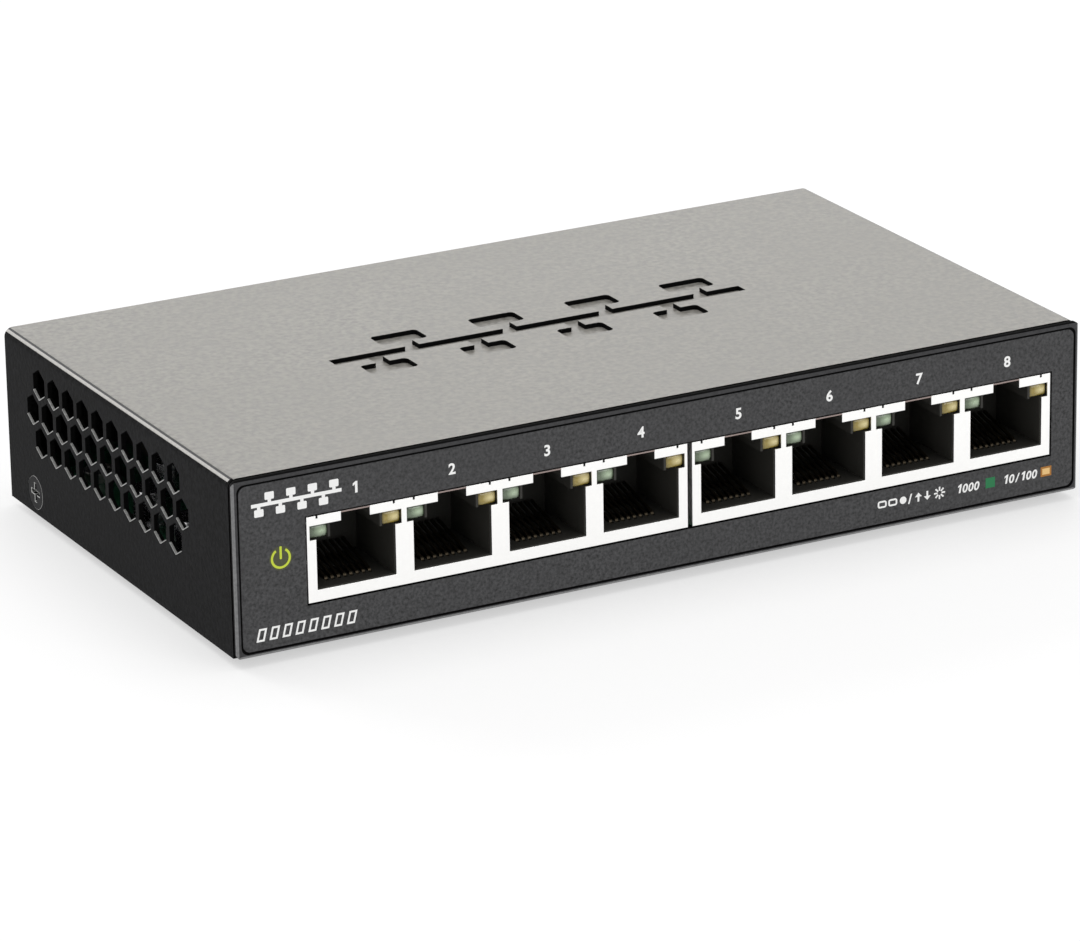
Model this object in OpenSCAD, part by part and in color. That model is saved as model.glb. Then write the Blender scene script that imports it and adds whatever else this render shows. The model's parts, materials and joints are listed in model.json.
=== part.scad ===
// Eight-port desktop network switch in a folded sheet-steel case.
// +X is the width, -Y the front, +Z up. The origin lies on the standing surface,
// under the middle of the case. All sizes are in millimetres.

/* [Case] */
// Width across the front
case_w = 145; // [140:0.5:200]
// Depth from the front rim to the rear edge of the cover
case_d = 82.5; // [78:0.5:140]
// Height without the feet
case_h = 27.7; // [24:0.1:45]
// Thickness of the sheet steel
sheet_t = 0.8; // [0.6:0.05:1.2]
// Inside radius of the bends
bend_in_r = 0.6; // [0.3:0.1:1.5]
// Clearance between the cover and the chassis inside it
cover_fit = 0.1; // [0.05:0.05:0.3]
// Length of the flanges that turn back from the front and rear walls
flange_l = 7; // [4:0.5:10]
// Height of the low side flanges on the floor
side_flange_h = 6.4; // [6:0.1:8]
// Size of the relief cut at each flange corner
relief = 1.4; // [1:0.1:3]
// Distance from the cover's rear edge to the rear wall's face
rear_setback = 0.5; // [0:0.1:2]

/* [Front panel] */
// Depth of the front panel's rim
rim_depth = 0.9; // [0.8:0.05:2]
// Rounding of the rim's outer edges
rim_r = 0.7; // [0.3:0.05:0.8]
// Corner radius of the rim, seen from the front
rim_corner_r = 1; // [0.5:0.1:1.4]
// Width of the rim beside the sunk panel
rim_w = 0.7; // [0.5:0.05:2]
// Width of the groove between the rim and the cover
groove_w = 0.5; // [0.2:0.05:1]
// Depth to which the panel is sunk for its overlay
overlay_recess = 0.25; // [0.1:0.05:0.5]
// Thickness of the overlay
overlay_t = 0.2; // [0.1:0.05:0.4]
// Gap around the overlay
overlay_gap = 0.32; // [0.1:0.02:0.8]
// Corner radius of the overlay
overlay_r = 1.2; // [0.5:0.1:3]
// Gap around the sockets in the panel window
window_gap = 0.2; // [0.1:0.05:0.5]
// Distance from the case's left side to the power light
power_x = 7.5; // [6:0.1:9]
// Height of the power light above the case's underside
power_h = 14.7; // [13:0.1:18]
// Diameter of the power light pipe
pipe_d = 3.2; // [2:0.1:4]

/* [Sockets] */
// Spacing of the sockets in one block
port_pitch = 15.88; // [15.6:0.02:16.2]
// Sockets in each block
block_ports = 4; // [4]
// Width that the end sockets add to a block's pitches
block_end_w = 15.96; // [15.9:0.02:16.4]
// Gap between the two blocks
block_gap = 0.8; // [0.4:0.1:3]
// Distance from the case's right side to the right block
block_margin = 5.15; // [4:0.05:8]
// Height of a socket block
jack_h = 13.4; // [13:0.1:18]
// Depth of a socket block
jack_l = 17; // [17:0.5:22]
// How far the blocks' faces stand behind the rim
jack_recess = 0.2; // [0.1:0.1:1]
// Thickness of the shield
shield_t = 0.25; // [0.2:0.05:0.4]
// Clearance between a shield and its housing
shield_fit = 0.05; // [0.02:0.01:0.1]
// Width of the plug cavity
cavity_w = 12.6; // [12.4:0.1:12.9]
// Depth of the plug cavity
cavity_l = 12.9; // [12.8:0.1:13.5]
// Height of the cavity's floor above the board
cavity_floor = 2; // [1.8:0.1:2.4]
// Height of the main plug cavity
cavity_h = 7.7; // [7:0.1:8]
// Width of the step for the plug's latch
latch_step_w = 8.1; // [6:0.1:8.2]
// Width of the notch for the latch's tail
latch_notch_w = 4.7; // [4:0.1:6]
// How much wider and lower the shield's opening is than the cavity
opening_margin = 0.15; // [0.05:0.05:0.2]
// Width of an indicator lens
led_w = 3; // [2.5:0.1:3.2]
// Height of an indicator lens
led_h = 2.1; // [1.8:0.1:2.2]
// Length of an indicator lens
led_l = 6; // [4:0.5:8]
// Distance from a socket's centre to each lens's centre
led_x = 6; // [5.8:0.05:6.1]
// Spacing of the contacts in a socket
contact_pitch = 1.02; // [1:0.01:1.1]
// Width of a contact
contact_w = 0.46; // [0.3:0.02:0.5]
// Thickness of a contact
contact_t = 0.3; // [0.2:0.05:0.35]
// Clearance beside each contact, lens and lead
part_fit = 0.06; // [0.03:0.01:0.1]

/* [Circuit board] */
// Thickness of the board
board_t = 1.6; // [1:0.1:2.4]
// Height of the board's underside above the floor
standoff_h = 4.3; // [4:0.1:8]
// Diameter of the standoffs
standoff_d = 6; // [5:0.5:8]
// Gap between the board and the chassis
board_gap = 0.8; // [0.3:0.1:2]
// Distance from the case's sides to the standoffs
standoff_side = 8; // [7:0.5:14]
// Distance from the front to the front standoffs
standoff_front = 35; // [34:0.5:37]
// Distance from the rear to the rear standoffs
standoff_rear = 17; // [16:0.5:20]
// Length of the pins below the board
pin_tail = 1; // [0.5:0.1:1.5]

/* [Rear panel] */
// Distance from the case's left side to the power inlet
inlet_x = 23; // [20:0.5:40]
// Height of the inlet's axis above the board
inlet_axis_h = 6.2; // [6:0.1:8]
// Diameter of the inlet's socket
inlet_d = 6.4; // [6:0.1:6.6]
// Diameter of the inlet's centre pin
inlet_pin_d = 2; // [1.6:0.1:2.6]
// Free length of the inlet's centre pin
inlet_pin_l = 8.5; // [7:0.5:9]
// Distance from the power inlet to the reset button
reset_offset = 22; // [14:0.5:40]
// Height of the reset button's axis above the board
reset_axis_h = 2.6; // [2.4:0.1:4]
// Diameter of the reset button's plunger
plunger_d = 2.4; // [1.6:0.1:3]
// Travel of the reset button
reset_travel = 0.3; // [0.2:0.05:0.5]
// Radial clearance around the plunger
plunger_fit = 0.05; // [0.02:0.01:0.1]
// Diameter of the pinhole over the reset button
pinhole_d = 2; // [1.5:0.1:3]
// Distance from the case's right side to the security slot
lock_x = 20; // [12:0.5:60]
// Length of the security slot
lock_l = 7; // [6.5:0.1:8]
// Height of the security slot
lock_h = 3; // [2.8:0.1:3.4]

/* [Side panels] */
// Spacing of the hexagonal vents in a row
vent_pitch = 5.47; // [5:0.01:7]
// Width of a vent across its upright flats
vent_w = 4.3; // [3:0.1:4.6]
// Vents in the longest row
vent_n = 11; // [3:2:11]
// Height of the middle row above the case's underside
vent_z = 17.4; // [16:0.1:17.8]
// Distance from the front to the middle of the rows
vent_y = 45; // [40:0.1:48]
// Distance from the rear edge to the cover screws
screw_rear = 9.6; // [8:0.1:11]
// Height of the cover screws above the case's underside
screw_h = 3.5; // [3.3:0.05:3.6]
// Thread diameter of the screws
screw_d = 3; // [2.5:0.1:3.2]
// Diameter of the cover screws' heads
head_d = 5.5; // [5:0.1:6]
// Clearance around the screws
screw_fit = 0.05; // [0.02:0.01:0.15]

/* [Top mark] */
// Length of the sunk mark
mark_w = 72; // [40:1:100]
// Width of the sunk mark
mark_d = 16; // [12:0.5:24]
// Depth of the sunk mark
mark_depth = 0.75; // [0.3:0.05:0.75]
// Width of the mark's lines
mark_line = 2.4; // [1.5:0.1:3]

/* [Underside] */
// Diameter of a foot
foot_d = 9.5; // [8:0.5:14]
// Height of a foot
foot_h = 1.5; // [1:0.1:6]
// Distance from the case's edges to a foot's centre
foot_inset = 12; // [10:0.5:20]
// Spacing of the wall-mounting keyholes
keyhole_spacing = 100; // [80:1:105]
// Diameter of a keyhole's entry
keyhole_d = 7.5; // [7:0.1:9]
// Width of a keyhole's slot
keyhole_slot_w = 4; // [3.5:0.1:4.5]
// Length of the slot beyond the entry's centre
keyhole_slot_l = 7; // [6:0.5:9]
// Length of the rating label
rating_w = 56; // [30:1:70]
// Width of the rating label
rating_d = 26; // [15:1:30]
// Thickness of the rating label
rating_t = 0.15; // [0.1:0.05:0.3]

/* [Hidden] */
$fn = 48;
eps = 0.01;

bend_out_r = bend_in_r + sheet_t;
case_z = foot_h;
top_z = case_z + case_h;
front_y = -case_d / 2;
rear_y = case_d / 2;
floor_z = case_z + sheet_t;
chassis_w = case_w - 2 * (sheet_t + cover_fit);
chassis_top = top_z - sheet_t - cover_fit;
front_in_y = front_y + overlay_recess + sheet_t;
cover_front_y = front_y + rim_depth + groove_w;
rear_out_y = rear_y - rear_setback;
rear_in_y = rear_out_y - sheet_t;

board_z = floor_z + standoff_h;
board_top = board_z + board_t;
board_w = chassis_w - 2 * (sheet_t + board_gap);
board_front = front_in_y + board_gap / 2;
board_rear = rear_in_y - board_gap;
standoff_xs = [-case_w / 2 + standoff_side, case_w / 2 - standoff_side];
standoff_ys = [front_y + standoff_front, rear_y - standoff_rear];

block_w = (block_ports - 1) * port_pitch + block_end_w;
jack_y = front_y + jack_recess;
right_block_x = case_w / 2 - block_margin - block_w / 2;
left_block_x = right_block_x - block_w - block_gap;
port_us = [for (i = [0 : block_ports - 1]) (i - (block_ports - 1) / 2) * port_pitch];
port_xs = [for (b = [left_block_x, right_block_x]) for (u = port_us) b + u];
housing_l = jack_l - 2.2;
cavity_top = cavity_floor + cavity_h;
led_z = cavity_top + led_h / 2 + part_fit;
step_top = cavity_top + led_h + 2 * part_fit;
trench_front = 2.6;
contact_top = 4.2;
tail_ys = [11.2, housing_l - 0.9];
lead_y = housing_l + 0.9;
lead_t = 0.4;
lead_gap = 1.27;
peg_d = 3.2;
peg_y = 7;
tab_y = 8;
tab_w = 1.6;

window_x0 = left_block_x - block_w / 2 - window_gap;
window_x1 = right_block_x + block_w / 2 + window_gap;
window_z0 = board_top - window_gap;
window_z1 = board_top + jack_h + window_gap;
power_lx = -case_w / 2 + power_x;
power_z = case_z + power_h;

inlet_lx = -case_w / 2 + inlet_x;
inlet_z = board_top + inlet_axis_h;
inlet_nose_d = inlet_d + 1.8;
inlet_body_w = 9.2;
inlet_body_l = 12.6;
inlet_floor_l = 10.4;
pin_base_d = inlet_pin_d + 0.8;

reset_lx = inlet_lx + reset_offset;
reset_z = board_top + reset_axis_h;
plunger_tip_y = rear_in_y - 0.5;
frame_y = plunger_tip_y - 1.4;
frame_t = 0.3;
switch_w = 6.2;
switch_l = 2.8;
switch_h = reset_axis_h + 2.2;
plunger_flange_d = plunger_d + 1.2;
plunger_flange_t = 0.5;
nib_l = 0.3;
dome_d = plunger_flange_d + 0.5;
dome_h = reset_travel + 0.1;
dome_t = 0.1;

chip_x = 12;
chip_y = front_y + 51;
chip_w = 24;
chip_t = 1.6;
pad_t = 0.5;
sink_w = 34;
sink_base = 2;
sink_h = 9;
fin_n = 9;
fin_t = 1.1;

// ---- helpers ----

// A box given by its ranges along the three axes
module block(x, y, z) {
    translate([x[0], y[0], z[0]]) cube([x[1] - x[0], y[1] - y[0], z[1] - z[0]]);
}

// A flat rectangle with round corners, centred
module rounded_rect(w, h, r) {
    square([w - 2 * r, h], center = true);
    square([w, h - 2 * r], center = true);
    for (x = [-1, 1]) for (y = [-1, 1]) translate([x * (w / 2 - r), y * (h / 2 - r)]) circle(r);
}

// Carries a flat shape (y, z) along X, centred
module along_x(l) {
    rotate([90, 0, 90]) linear_extrude(l, center = true) children();
}

// Carries a flat shape (x, z) back from y0 by l
module along_y(y0, l) {
    translate([0, y0 + l, 0]) rotate([90, 0, 0]) linear_extrude(l) children();
}

// A cylinder that points back from y0
module rod_y(x, y0, z, d, l) {
    translate([x, y0 + l, z]) rotate([90, 0, 0]) cylinder(d = d, h = l);
}

// ---- case ----

// The sunk mark: one line with eight square ports on short branches
module mark(grow) {
    port_w = mark_w / 9;
    port_d = (mark_d - 3 * mark_line) / 2;
    square([mark_w + 2 * grow, mark_line + 2 * grow], center = true);
    for (i = [0 : 3]) for (s = [-1, 1]) {
        x = (i - 1.5 + s * 0.22) * mark_w / 4.25;
        translate([x, s * mark_line]) square([mark_line + 2 * grow, mark_line * 2], center = true);
        translate([x, s * (mark_d - port_d) / 2])
            rounded_rect(port_w + 2 * grow, port_d + 2 * grow, 0.8 + grow);
    }
}

// Hexagonal vents across both sides, in a row of n at height z
module vent_row(n, z) {
    for (i = [0 : n - 1])
        translate([0, front_y + vent_y + (i - (n - 1) / 2) * vent_pitch, z])
            rotate([0, 90, 0])
                cylinder(d = vent_w / cos(30), h = case_w + 2, center = true, $fn = 6);
}

// The countersink of a cover screw, pointing in from the side s
module screw_cone(s, grow) {
    cone_h = (head_d - screw_d) / 2;
    translate([s * case_w / 2, rear_y - screw_rear, case_z + screw_h])
        rotate([0, -s * 90, 0]) {
            translate([0, 0, -grow])
                cylinder(d1 = head_d + 2 * grow, d2 = screw_d + 2 * grow, h = cone_h + grow);
            cylinder(d = screw_d + 2 * grow, h = cone_h + 4);
        }
}

module top_cover() {
    cover_l = rear_y - cover_front_y;
    color([0.71, 0.70, 0.67])
    difference() {
        along_y(cover_front_y, cover_l) difference() {
            union() {
                translate([-case_w / 2, case_z]) square([case_w, case_h - bend_out_r]);
                translate([-case_w / 2 + bend_out_r, case_z]) square([case_w - 2 * bend_out_r, case_h]);
                for (s = [-1, 1]) translate([s * (case_w / 2 - bend_out_r), top_z - bend_out_r])
                    circle(bend_out_r);
            }
            inside_w = case_w - 2 * sheet_t;
            translate([-inside_w / 2, case_z - 1]) square([inside_w, case_h - sheet_t - bend_in_r + 1]);
            translate([-inside_w / 2 + bend_in_r, case_z - 1])
                square([inside_w - 2 * bend_in_r, case_h - sheet_t + 1]);
            for (s = [-1, 1])
                translate([s * (inside_w / 2 - bend_in_r), top_z - sheet_t - bend_in_r])
                    circle(bend_in_r);
        }
        translate([0, 0, top_z - mark_depth]) linear_extrude(mark_depth + 1) mark(0);
        for (row = [-1, 1]) vent_row(vent_n - 1, case_z + vent_z + row * vent_pitch * sin(60));
        vent_row(vent_n, case_z + vent_z);
        for (s = [-1, 1]) screw_cone(s, screw_fit);
    }
    // the metal that the mark pushes down on the inside
    color([0.71, 0.70, 0.67])
    translate([0, 0, top_z - sheet_t - mark_depth + eps]) linear_extrude(mark_depth) mark(0.3);
}

// The rim plate: two rounded sections crossed, so that all four front edges are round,
// within the front's round-cornered outline
module rim_plate() {
    mid_z = (case_z + top_z) / 2;
    intersection() {
        translate([0, 0, case_z]) linear_extrude(case_h) {
            translate([-case_w / 2 + rim_r, front_y]) square([case_w - 2 * rim_r, rim_depth]);
            translate([-case_w / 2, front_y + rim_r]) square([case_w, rim_depth - rim_r]);
            for (s = [-1, 1]) translate([s * (case_w / 2 - rim_r), front_y + rim_r]) circle(rim_r);
        }
        along_x(case_w) {
            translate([front_y, case_z + rim_r]) square([rim_depth, case_h - 2 * rim_r]);
            translate([front_y + rim_r, case_z]) square([rim_depth - rim_r, case_h]);
            for (s = [-1, 1])
                translate([front_y + rim_r, mid_z + s * (case_h / 2 - rim_r)]) circle(rim_r);
        }
        along_y(front_y - 1, rim_depth + 2) translate([0, mid_z])
            rounded_rect(case_w, case_h, rim_corner_r);
    }
}

module keyhole() {
    circle(d = keyhole_d);
    translate([-keyhole_slot_w / 2, 0]) square([keyhole_slot_w, keyhole_slot_l - keyhole_slot_w / 2]);
    translate([0, keyhole_slot_l - keyhole_slot_w / 2]) circle(d = keyhole_slot_w);
}

module chassis_base() {
    pan_y = front_y + rim_depth - 2 * eps;
    pan_d = rear_out_y - pan_y;
    pan_h = chassis_top - case_z;
    hollow_d = rear_in_y - front_in_y;
    color([0.13, 0.13, 0.14])
    difference() {
        union() {
            rim_plate();
            along_x(chassis_w) {
                translate([pan_y, case_z]) square([pan_d - bend_out_r, pan_h]);
                translate([pan_y, case_z + bend_out_r]) square([pan_d, pan_h - 2 * bend_out_r]);
                for (z = [case_z + bend_out_r, chassis_top - bend_out_r])
                    translate([rear_out_y - bend_out_r, z]) circle(bend_out_r);
            }
        }
        // the hollow inside the walls, and the open middle of the sides and top
        translate([0, front_in_y + hollow_d / 2, floor_z + (pan_h - 2 * sheet_t) / 2])
            along_x(chassis_w - 2 * sheet_t)
                rounded_rect(hollow_d, pan_h - 2 * sheet_t, bend_in_r);
        block([-case_w / 2, case_w / 2], [front_y + flange_l, rear_out_y - flange_l],
            [case_z + side_flange_h, top_z]);
        for (s = [-1, 1]) block([s * chassis_w / 2 - relief, s * chassis_w / 2 + relief],
            [front_y + rim_depth, rear_y], [chassis_top - relief, top_z]);
        // the sunk panel, the socket window and the power light's hole
        along_y(front_y - 1, 1 + overlay_recess) translate([0, case_z + case_h / 2])
            rounded_rect(case_w - 2 * rim_w, case_h - 2 * rim_w, overlay_r);
        block([window_x0, window_x1], [front_y - 1, front_in_y + 1], [window_z0, window_z1]);
        rod_y(power_lx, front_y - 1, power_z, pipe_d + 2 * part_fit, 4);
        // rear panel: inlet, pinhole and security slot
        rod_y(inlet_lx, rear_in_y - 1, inlet_z, inlet_nose_d + 0.4, 3);
        rod_y(reset_lx, rear_in_y - 1, reset_z, pinhole_d, 3);
        along_y(rear_in_y - 1, 3)
            translate([case_w / 2 - lock_x, board_top + jack_h / 2]) rounded_rect(lock_l, lock_h, 0.8);
        for (s = [-1, 1]) screw_cone(s, screw_fit);
        for (s = [-1, 1]) translate([s * keyhole_spacing / 2, 0, case_z - 1])
            linear_extrude(sheet_t + 2) keyhole();
    }
}

module front_overlay() {
    inset = rim_w + overlay_gap;
    color([0.27, 0.27, 0.28])
    difference() {
        along_y(front_y + overlay_recess - overlay_t, overlay_t) translate([0, case_z + case_h / 2])
            rounded_rect(case_w - 2 * inset, case_h - 2 * inset, overlay_r);
        block([window_x0 - part_fit, window_x1 + part_fit], [front_y - 1, front_in_y],
            [window_z0 - part_fit, window_z1 + part_fit]);
    }
}

module rating_label() {
    color([0.85, 0.85, 0.84])
    translate([0, 0, case_z - rating_t]) linear_extrude(rating_t) rounded_rect(rating_w, rating_d, 1);
}

module rubber_feet() {
    color([0.08, 0.08, 0.08])
    for (x = [-1, 1]) for (y = [-1, 1])
        translate([x * (case_w / 2 - foot_inset), y * (case_d / 2 - foot_inset), 0])
            rotate_extrude() {
                square([foot_d / 2 - 0.4, foot_h]);
                translate([0, 0.4]) square([foot_d / 2, foot_h - 0.4]);
                translate([foot_d / 2 - 0.4, 0.4]) circle(0.4);
            }
}

// A cross recess, cut down from the origin
module cross_recess(size, depth) {
    for (a = [0, 90]) rotate([0, 0, a])
        translate([-size / 2, -size / 9, -depth]) cube([size, size / 4.5, depth + 1]);
}

module cover_screws() {
    cone_h = (head_d - screw_d) / 2;
    color([0.1, 0.1, 0.1])
    for (s = [-1, 1]) translate([s * case_w / 2, rear_y - screw_rear, case_z + screw_h])
        rotate([0, s * 90, 0]) difference() {
            union() {
                translate([0, 0, -cone_h]) cylinder(d1 = screw_d, d2 = head_d, h = cone_h);
                translate([0, 0, -cone_h - 3]) cylinder(d = screw_d, h = 3 + eps);
            }
            cross_recess(head_d * 0.55, 0.8);
        }
}

// ---- sockets ----

module jack_shield(block_x) {
    opening_w = cavity_w + 2 * opening_margin;
    light_w = 2 * led_x + led_w;
    color([0.93, 0.93, 0.92])
    translate([block_x, jack_y, board_top])
    difference() {
        union() {
            block([-block_w / 2, block_w / 2], [0, jack_l], [0, jack_h]);
            for (s = [-1, 1]) for (y = [tab_y, jack_l - 3])
                block([s * (block_w / 2 - shield_t / 2) - shield_t / 2,
                    s * (block_w / 2 - shield_t / 2) + shield_t / 2],
                    [y - tab_w / 2, y + tab_w / 2], [-board_t - pin_tail, 1]);
        }
        block([-block_w / 2 + shield_t, block_w / 2 - shield_t], [shield_t, jack_l - shield_t],
            [-5, jack_h - shield_t]);
        for (u = port_us) {
            block([u - opening_w / 2, u + opening_w / 2], [-1, 1],
                [cavity_floor - opening_margin, cavity_top + eps]);
            block([u - light_w / 2, u + light_w / 2], [-1, 1], [cavity_top, step_top]);
            block([u - latch_notch_w / 2, u + latch_notch_w / 2], [-1, 1],
                [step_top - eps, jack_h - shield_t]);
            // slits beside the grounding fingers on the top edge
            for (s = [-1, 1]) block([u + s * 6.3 - 0.16, u + s * 6.3 + 0.16], [-1, 6],
                [jack_h - 0.45, jack_h + 1]);
        }
    }
}

module jack_housing(block_x) {
    w = block_w - 2 * (shield_t + shield_fit);
    h = jack_h - shield_t - shield_fit;
    y0 = shield_t + shield_fit;
    slot_w = contact_w + 2 * part_fit;
    color([0.05, 0.05, 0.05])
    translate([block_x, jack_y, board_top])
    difference() {
        union() {
            block([-w / 2, w / 2], [y0, housing_l], [0, h]);
            for (s = [-1, 1]) translate([s * port_pitch, peg_y, -board_t - pin_tail])
                cylinder(d = peg_d, h = board_t + pin_tail + 1);
        }
        for (u = port_us) {
            block([u - cavity_w / 2, u + cavity_w / 2], [-1, cavity_l], [cavity_floor, cavity_top]);
            block([u - latch_step_w / 2, u + latch_step_w / 2], [-1, cavity_l],
                [cavity_top - eps, step_top]);
            block([u - latch_notch_w / 2, u + latch_notch_w / 2], [-1, cavity_l],
                [step_top - eps, h + 1]);
            for (s = [-1, 1]) translate([u + s * led_x, housing_l / 2, led_z])
                cube([led_w + 2 * part_fit, housing_l + 2, led_h + 2 * part_fit], center = true);
            for (x = contact_xs(u)) {
                block([x - slot_w / 2, x + slot_w / 2], [trench_front, cavity_l - 0.3],
                    [-1, cavity_floor + 1]);
                block([x - slot_w / 2, x + slot_w / 2], [cavity_l - 1, housing_l + 1], [-1, 1.3]);
            }
        }
    }
}

function contact_xs(u) = [for (i = [0 : 7]) u + (i - 3.5) * contact_pitch];

// A contact's side view: tail, run under the floor, and the spring that rises to the back
module contact_side(tail_y) {
    polygon([
        [tail_y, -board_t - pin_tail], [tail_y + contact_t, -board_t - pin_tail],
        [tail_y + contact_t, 1.2], [3.1 + contact_t, 1.2], [3.1 + contact_t, 2.1],
        [cavity_l - 0.8, contact_top], [cavity_l - 0.8, contact_top + contact_t],
        [3.1, 2.3], [3.1, 0.9], [tail_y, 0.9]
    ]);
}

module jack_contacts(block_x) {
    color([0.83, 0.68, 0.3])
    translate([block_x, jack_y, board_top])
    for (u = port_us) for (i = [0 : 7])
        translate([contact_xs(u)[i], 0, 0]) along_x(contact_w) contact_side(tail_ys[i % 2]);
}

// Lenses on side s of every socket, each with a rounded nose
module link_leds(s, tint) {
    color(tint)
    for (x = port_xs) translate([x + s * led_x, jack_y + 0.1, board_top + led_z]) {
        block([-led_w / 2, led_w / 2], [0.5, led_l], [-led_h / 2, led_h / 2]);
        rotate([0, 90, 0]) linear_extrude(led_w, center = true)
            translate([0, 0.6]) intersection() {
                translate([0, 1.2]) circle(1.7);
                square([led_h, 1.2], center = true);
            }
    }
}

module led_leads() {
    color([0.75, 0.75, 0.75])
    translate([0, jack_y, board_top])
    for (x = port_xs) for (s = [-1, 1]) for (k = [-1, 1]) {
        lead_x = x + s * led_x + k * lead_gap / 2;
        block([lead_x - lead_t / 2, lead_x + lead_t / 2], [led_l + 0.1, lead_y + lead_t / 2],
            [led_z - lead_t / 2, led_z + lead_t / 2]);
        block([lead_x - lead_t / 2, lead_x + lead_t / 2], [lead_y - lead_t / 2, lead_y + lead_t / 2],
            [-board_t - pin_tail, led_z + lead_t / 2]);
    }
}

// ---- board and what stands on it ----

module circuit_board() {
    board_d = board_rear - board_front;
    hole = part_fit * 2;
    color([0.05, 0.3, 0.16])
    difference() {
        translate([0, (board_front + board_rear) / 2, board_z]) linear_extrude(board_t)
            rounded_rect(board_w, board_d, 1.5);
        for (x = standoff_xs) for (y = standoff_ys) translate([x, y, board_z - 1])
            cylinder(d = screw_d + 0.4, h = board_t + 2);
        translate([0, jack_y, 0]) {
            for (b = [left_block_x, right_block_x]) for (s = [-1, 1]) {
                translate([b + s * port_pitch, peg_y, board_z - 1])
                    cylinder(d = peg_d + hole, h = board_t + 2);
                for (y = [tab_y, jack_l - 3])
                    translate([b + s * (block_w / 2 - shield_t / 2), y, board_z])
                        cube([shield_t + hole * 2, tab_w + hole * 2, 4 * board_t], center = true);
            }
            for (x = port_xs) {
                for (i = [0 : 7]) translate([contact_xs(x)[i], tail_ys[i % 2] + contact_t / 2, board_z])
                    cube([contact_w + hole, contact_t + hole, 4 * board_t], center = true);
                for (s = [-1, 1]) for (k = [-1, 1])
                    translate([x + s * led_x + k * lead_gap / 2, lead_y, board_z])
                        cube([lead_t + hole, lead_t + hole, 4 * board_t], center = true);
            }
        }
    }
}

module standoffs() {
    color([0.8, 0.8, 0.78])
    for (x = standoff_xs) for (y = standoff_ys) translate([x, y, floor_z]) difference() {
        cylinder(d = standoff_d, h = standoff_h, $fn = 6);
        translate([0, 0, -1]) cylinder(d = screw_d + 2 * screw_fit, h = standoff_h + 2);
    }
}

module board_screws() {
    color([0.75, 0.75, 0.74])
    for (x = standoff_xs) for (y = standoff_ys) translate([x, y, board_top]) difference() {
        union() {
            cylinder(d = head_d, h = 1.6);
            translate([0, 0, -board_t - 3.5]) cylinder(d = screw_d, h = board_t + 3.5 + eps);
        }
        translate([0, 0, 1.6]) cross_recess(head_d * 0.55, 0.9);
    }
}

module switch_chip() {
    color([0.1, 0.1, 0.1])
    translate([chip_x - chip_w / 2, chip_y - chip_w / 2, board_top]) cube([chip_w, chip_w, chip_t]);
}

module thermal_pad() {
    color([0.6, 0.65, 0.75])
    translate([chip_x - chip_w / 2 + 1, chip_y - chip_w / 2 + 1, board_top + chip_t])
        cube([chip_w - 2, chip_w - 2, pad_t]);
}

module heat_sink() {
    z0 = board_top + chip_t + pad_t;
    color([0.78, 0.79, 0.8])
    translate([chip_x, chip_y, z0]) {
        block([-sink_w / 2, sink_w / 2], [-sink_w / 2, sink_w / 2], [0, sink_base]);
        for (i = [0 : fin_n - 1]) {
            x = -sink_w / 2 + i * (sink_w - fin_t) / (fin_n - 1);
            block([x, x + fin_t], [-sink_w / 2, sink_w / 2], [sink_base - eps, sink_h]);
        }
    }
}

// A flat package with gull-wing pins along its two X sides
module package(w, d, h, pins, pitch) {
    block([-w / 2, w / 2], [-d / 2, d / 2], [0.1, h]);
    for (i = [0 : pins - 1]) for (s = [-1, 1]) translate([s * w / 2, (i - (pins - 1) / 2) * pitch, 0]) {
        block([-0.6, 0.6], [-pitch / 6, pitch / 6], [h * 0.35, h * 0.5]);
        block([s * 0.5 - 0.12, s * 0.5 + 0.12], [-pitch / 6, pitch / 6], [0, h * 0.5]);
    }
}

module memory_chip() {
    color([0.12, 0.12, 0.12])
    translate([chip_x + sink_w / 2 + 9, chip_y, board_top]) package(10.2, 21, 1.2, 12, 1.6);
}

module flash_chip() {
    color([0.12, 0.12, 0.12])
    translate([chip_x + sink_w / 2 + 22, chip_y + 6, board_top]) package(5.2, 5.2, 1.8, 4, 1.27);
}

module crystal() {
    color([0.8, 0.8, 0.8])
    translate([chip_x + sink_w / 2 + 22, chip_y - 6, board_top]) linear_extrude(3.5) {
        square([6.4, 4.6], center = true);
        for (s = [-1, 1]) translate([s * 3.2, 0]) circle(d = 4.6);
    }
}

module port_transformers() {
    color([0.1, 0.1, 0.11])
    for (x = port_xs) translate([x, jack_y + jack_l + 8.5, board_top]) {
        block([-6.8, 6.8], [-4.2, 4.2], [0.1, 5.4]);
        for (s = [-1, 1]) for (i = [-2 : 2])
            block([i * 2.4 - 0.25, i * 2.4 + 0.25], [s * 4.5 - 0.6, s * 4.5 + 0.6], [0, 0.4]);
    }
}

module power_inductors() {
    color([0.2, 0.2, 0.21])
    for (x = [-48, -38]) translate([x, chip_y - 2, board_top]) linear_extrude(4.2)
        rounded_rect(7.4, 7.4, 1.6);
}

module regulator_chips() {
    color([0.12, 0.12, 0.12])
    for (x = [-48, -38]) translate([x, chip_y - 11, board_top]) package(4, 5, 1.5, 4, 1.27);
}

module electrolytic_capacitors() {
    near_side = -case_w / 2 + 6.7;
    color([0.85, 0.85, 0.86])
    for (p = [[near_side, front_y + 28], [near_side, front_y + 43], [-58, chip_y + 2]])
        translate([p[0], p[1], board_top]) {
            block([-3.3, 3.3], [-3.3, 3.3], [0, 0.8]);
            translate([0, 0, 0.7]) cylinder(d = 6.3, h = 5.2);
        }
}

module ceramic_capacitors() {
    color([0.62, 0.5, 0.36])
    for (i = [0 : 7]) for (row = [-1, 1])
        translate([chip_x + (i - 3.5) * 4.2, chip_y + row * 18.6, board_top + 0.45])
            cube([2, 1.25, 0.9], center = true);
}

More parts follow.
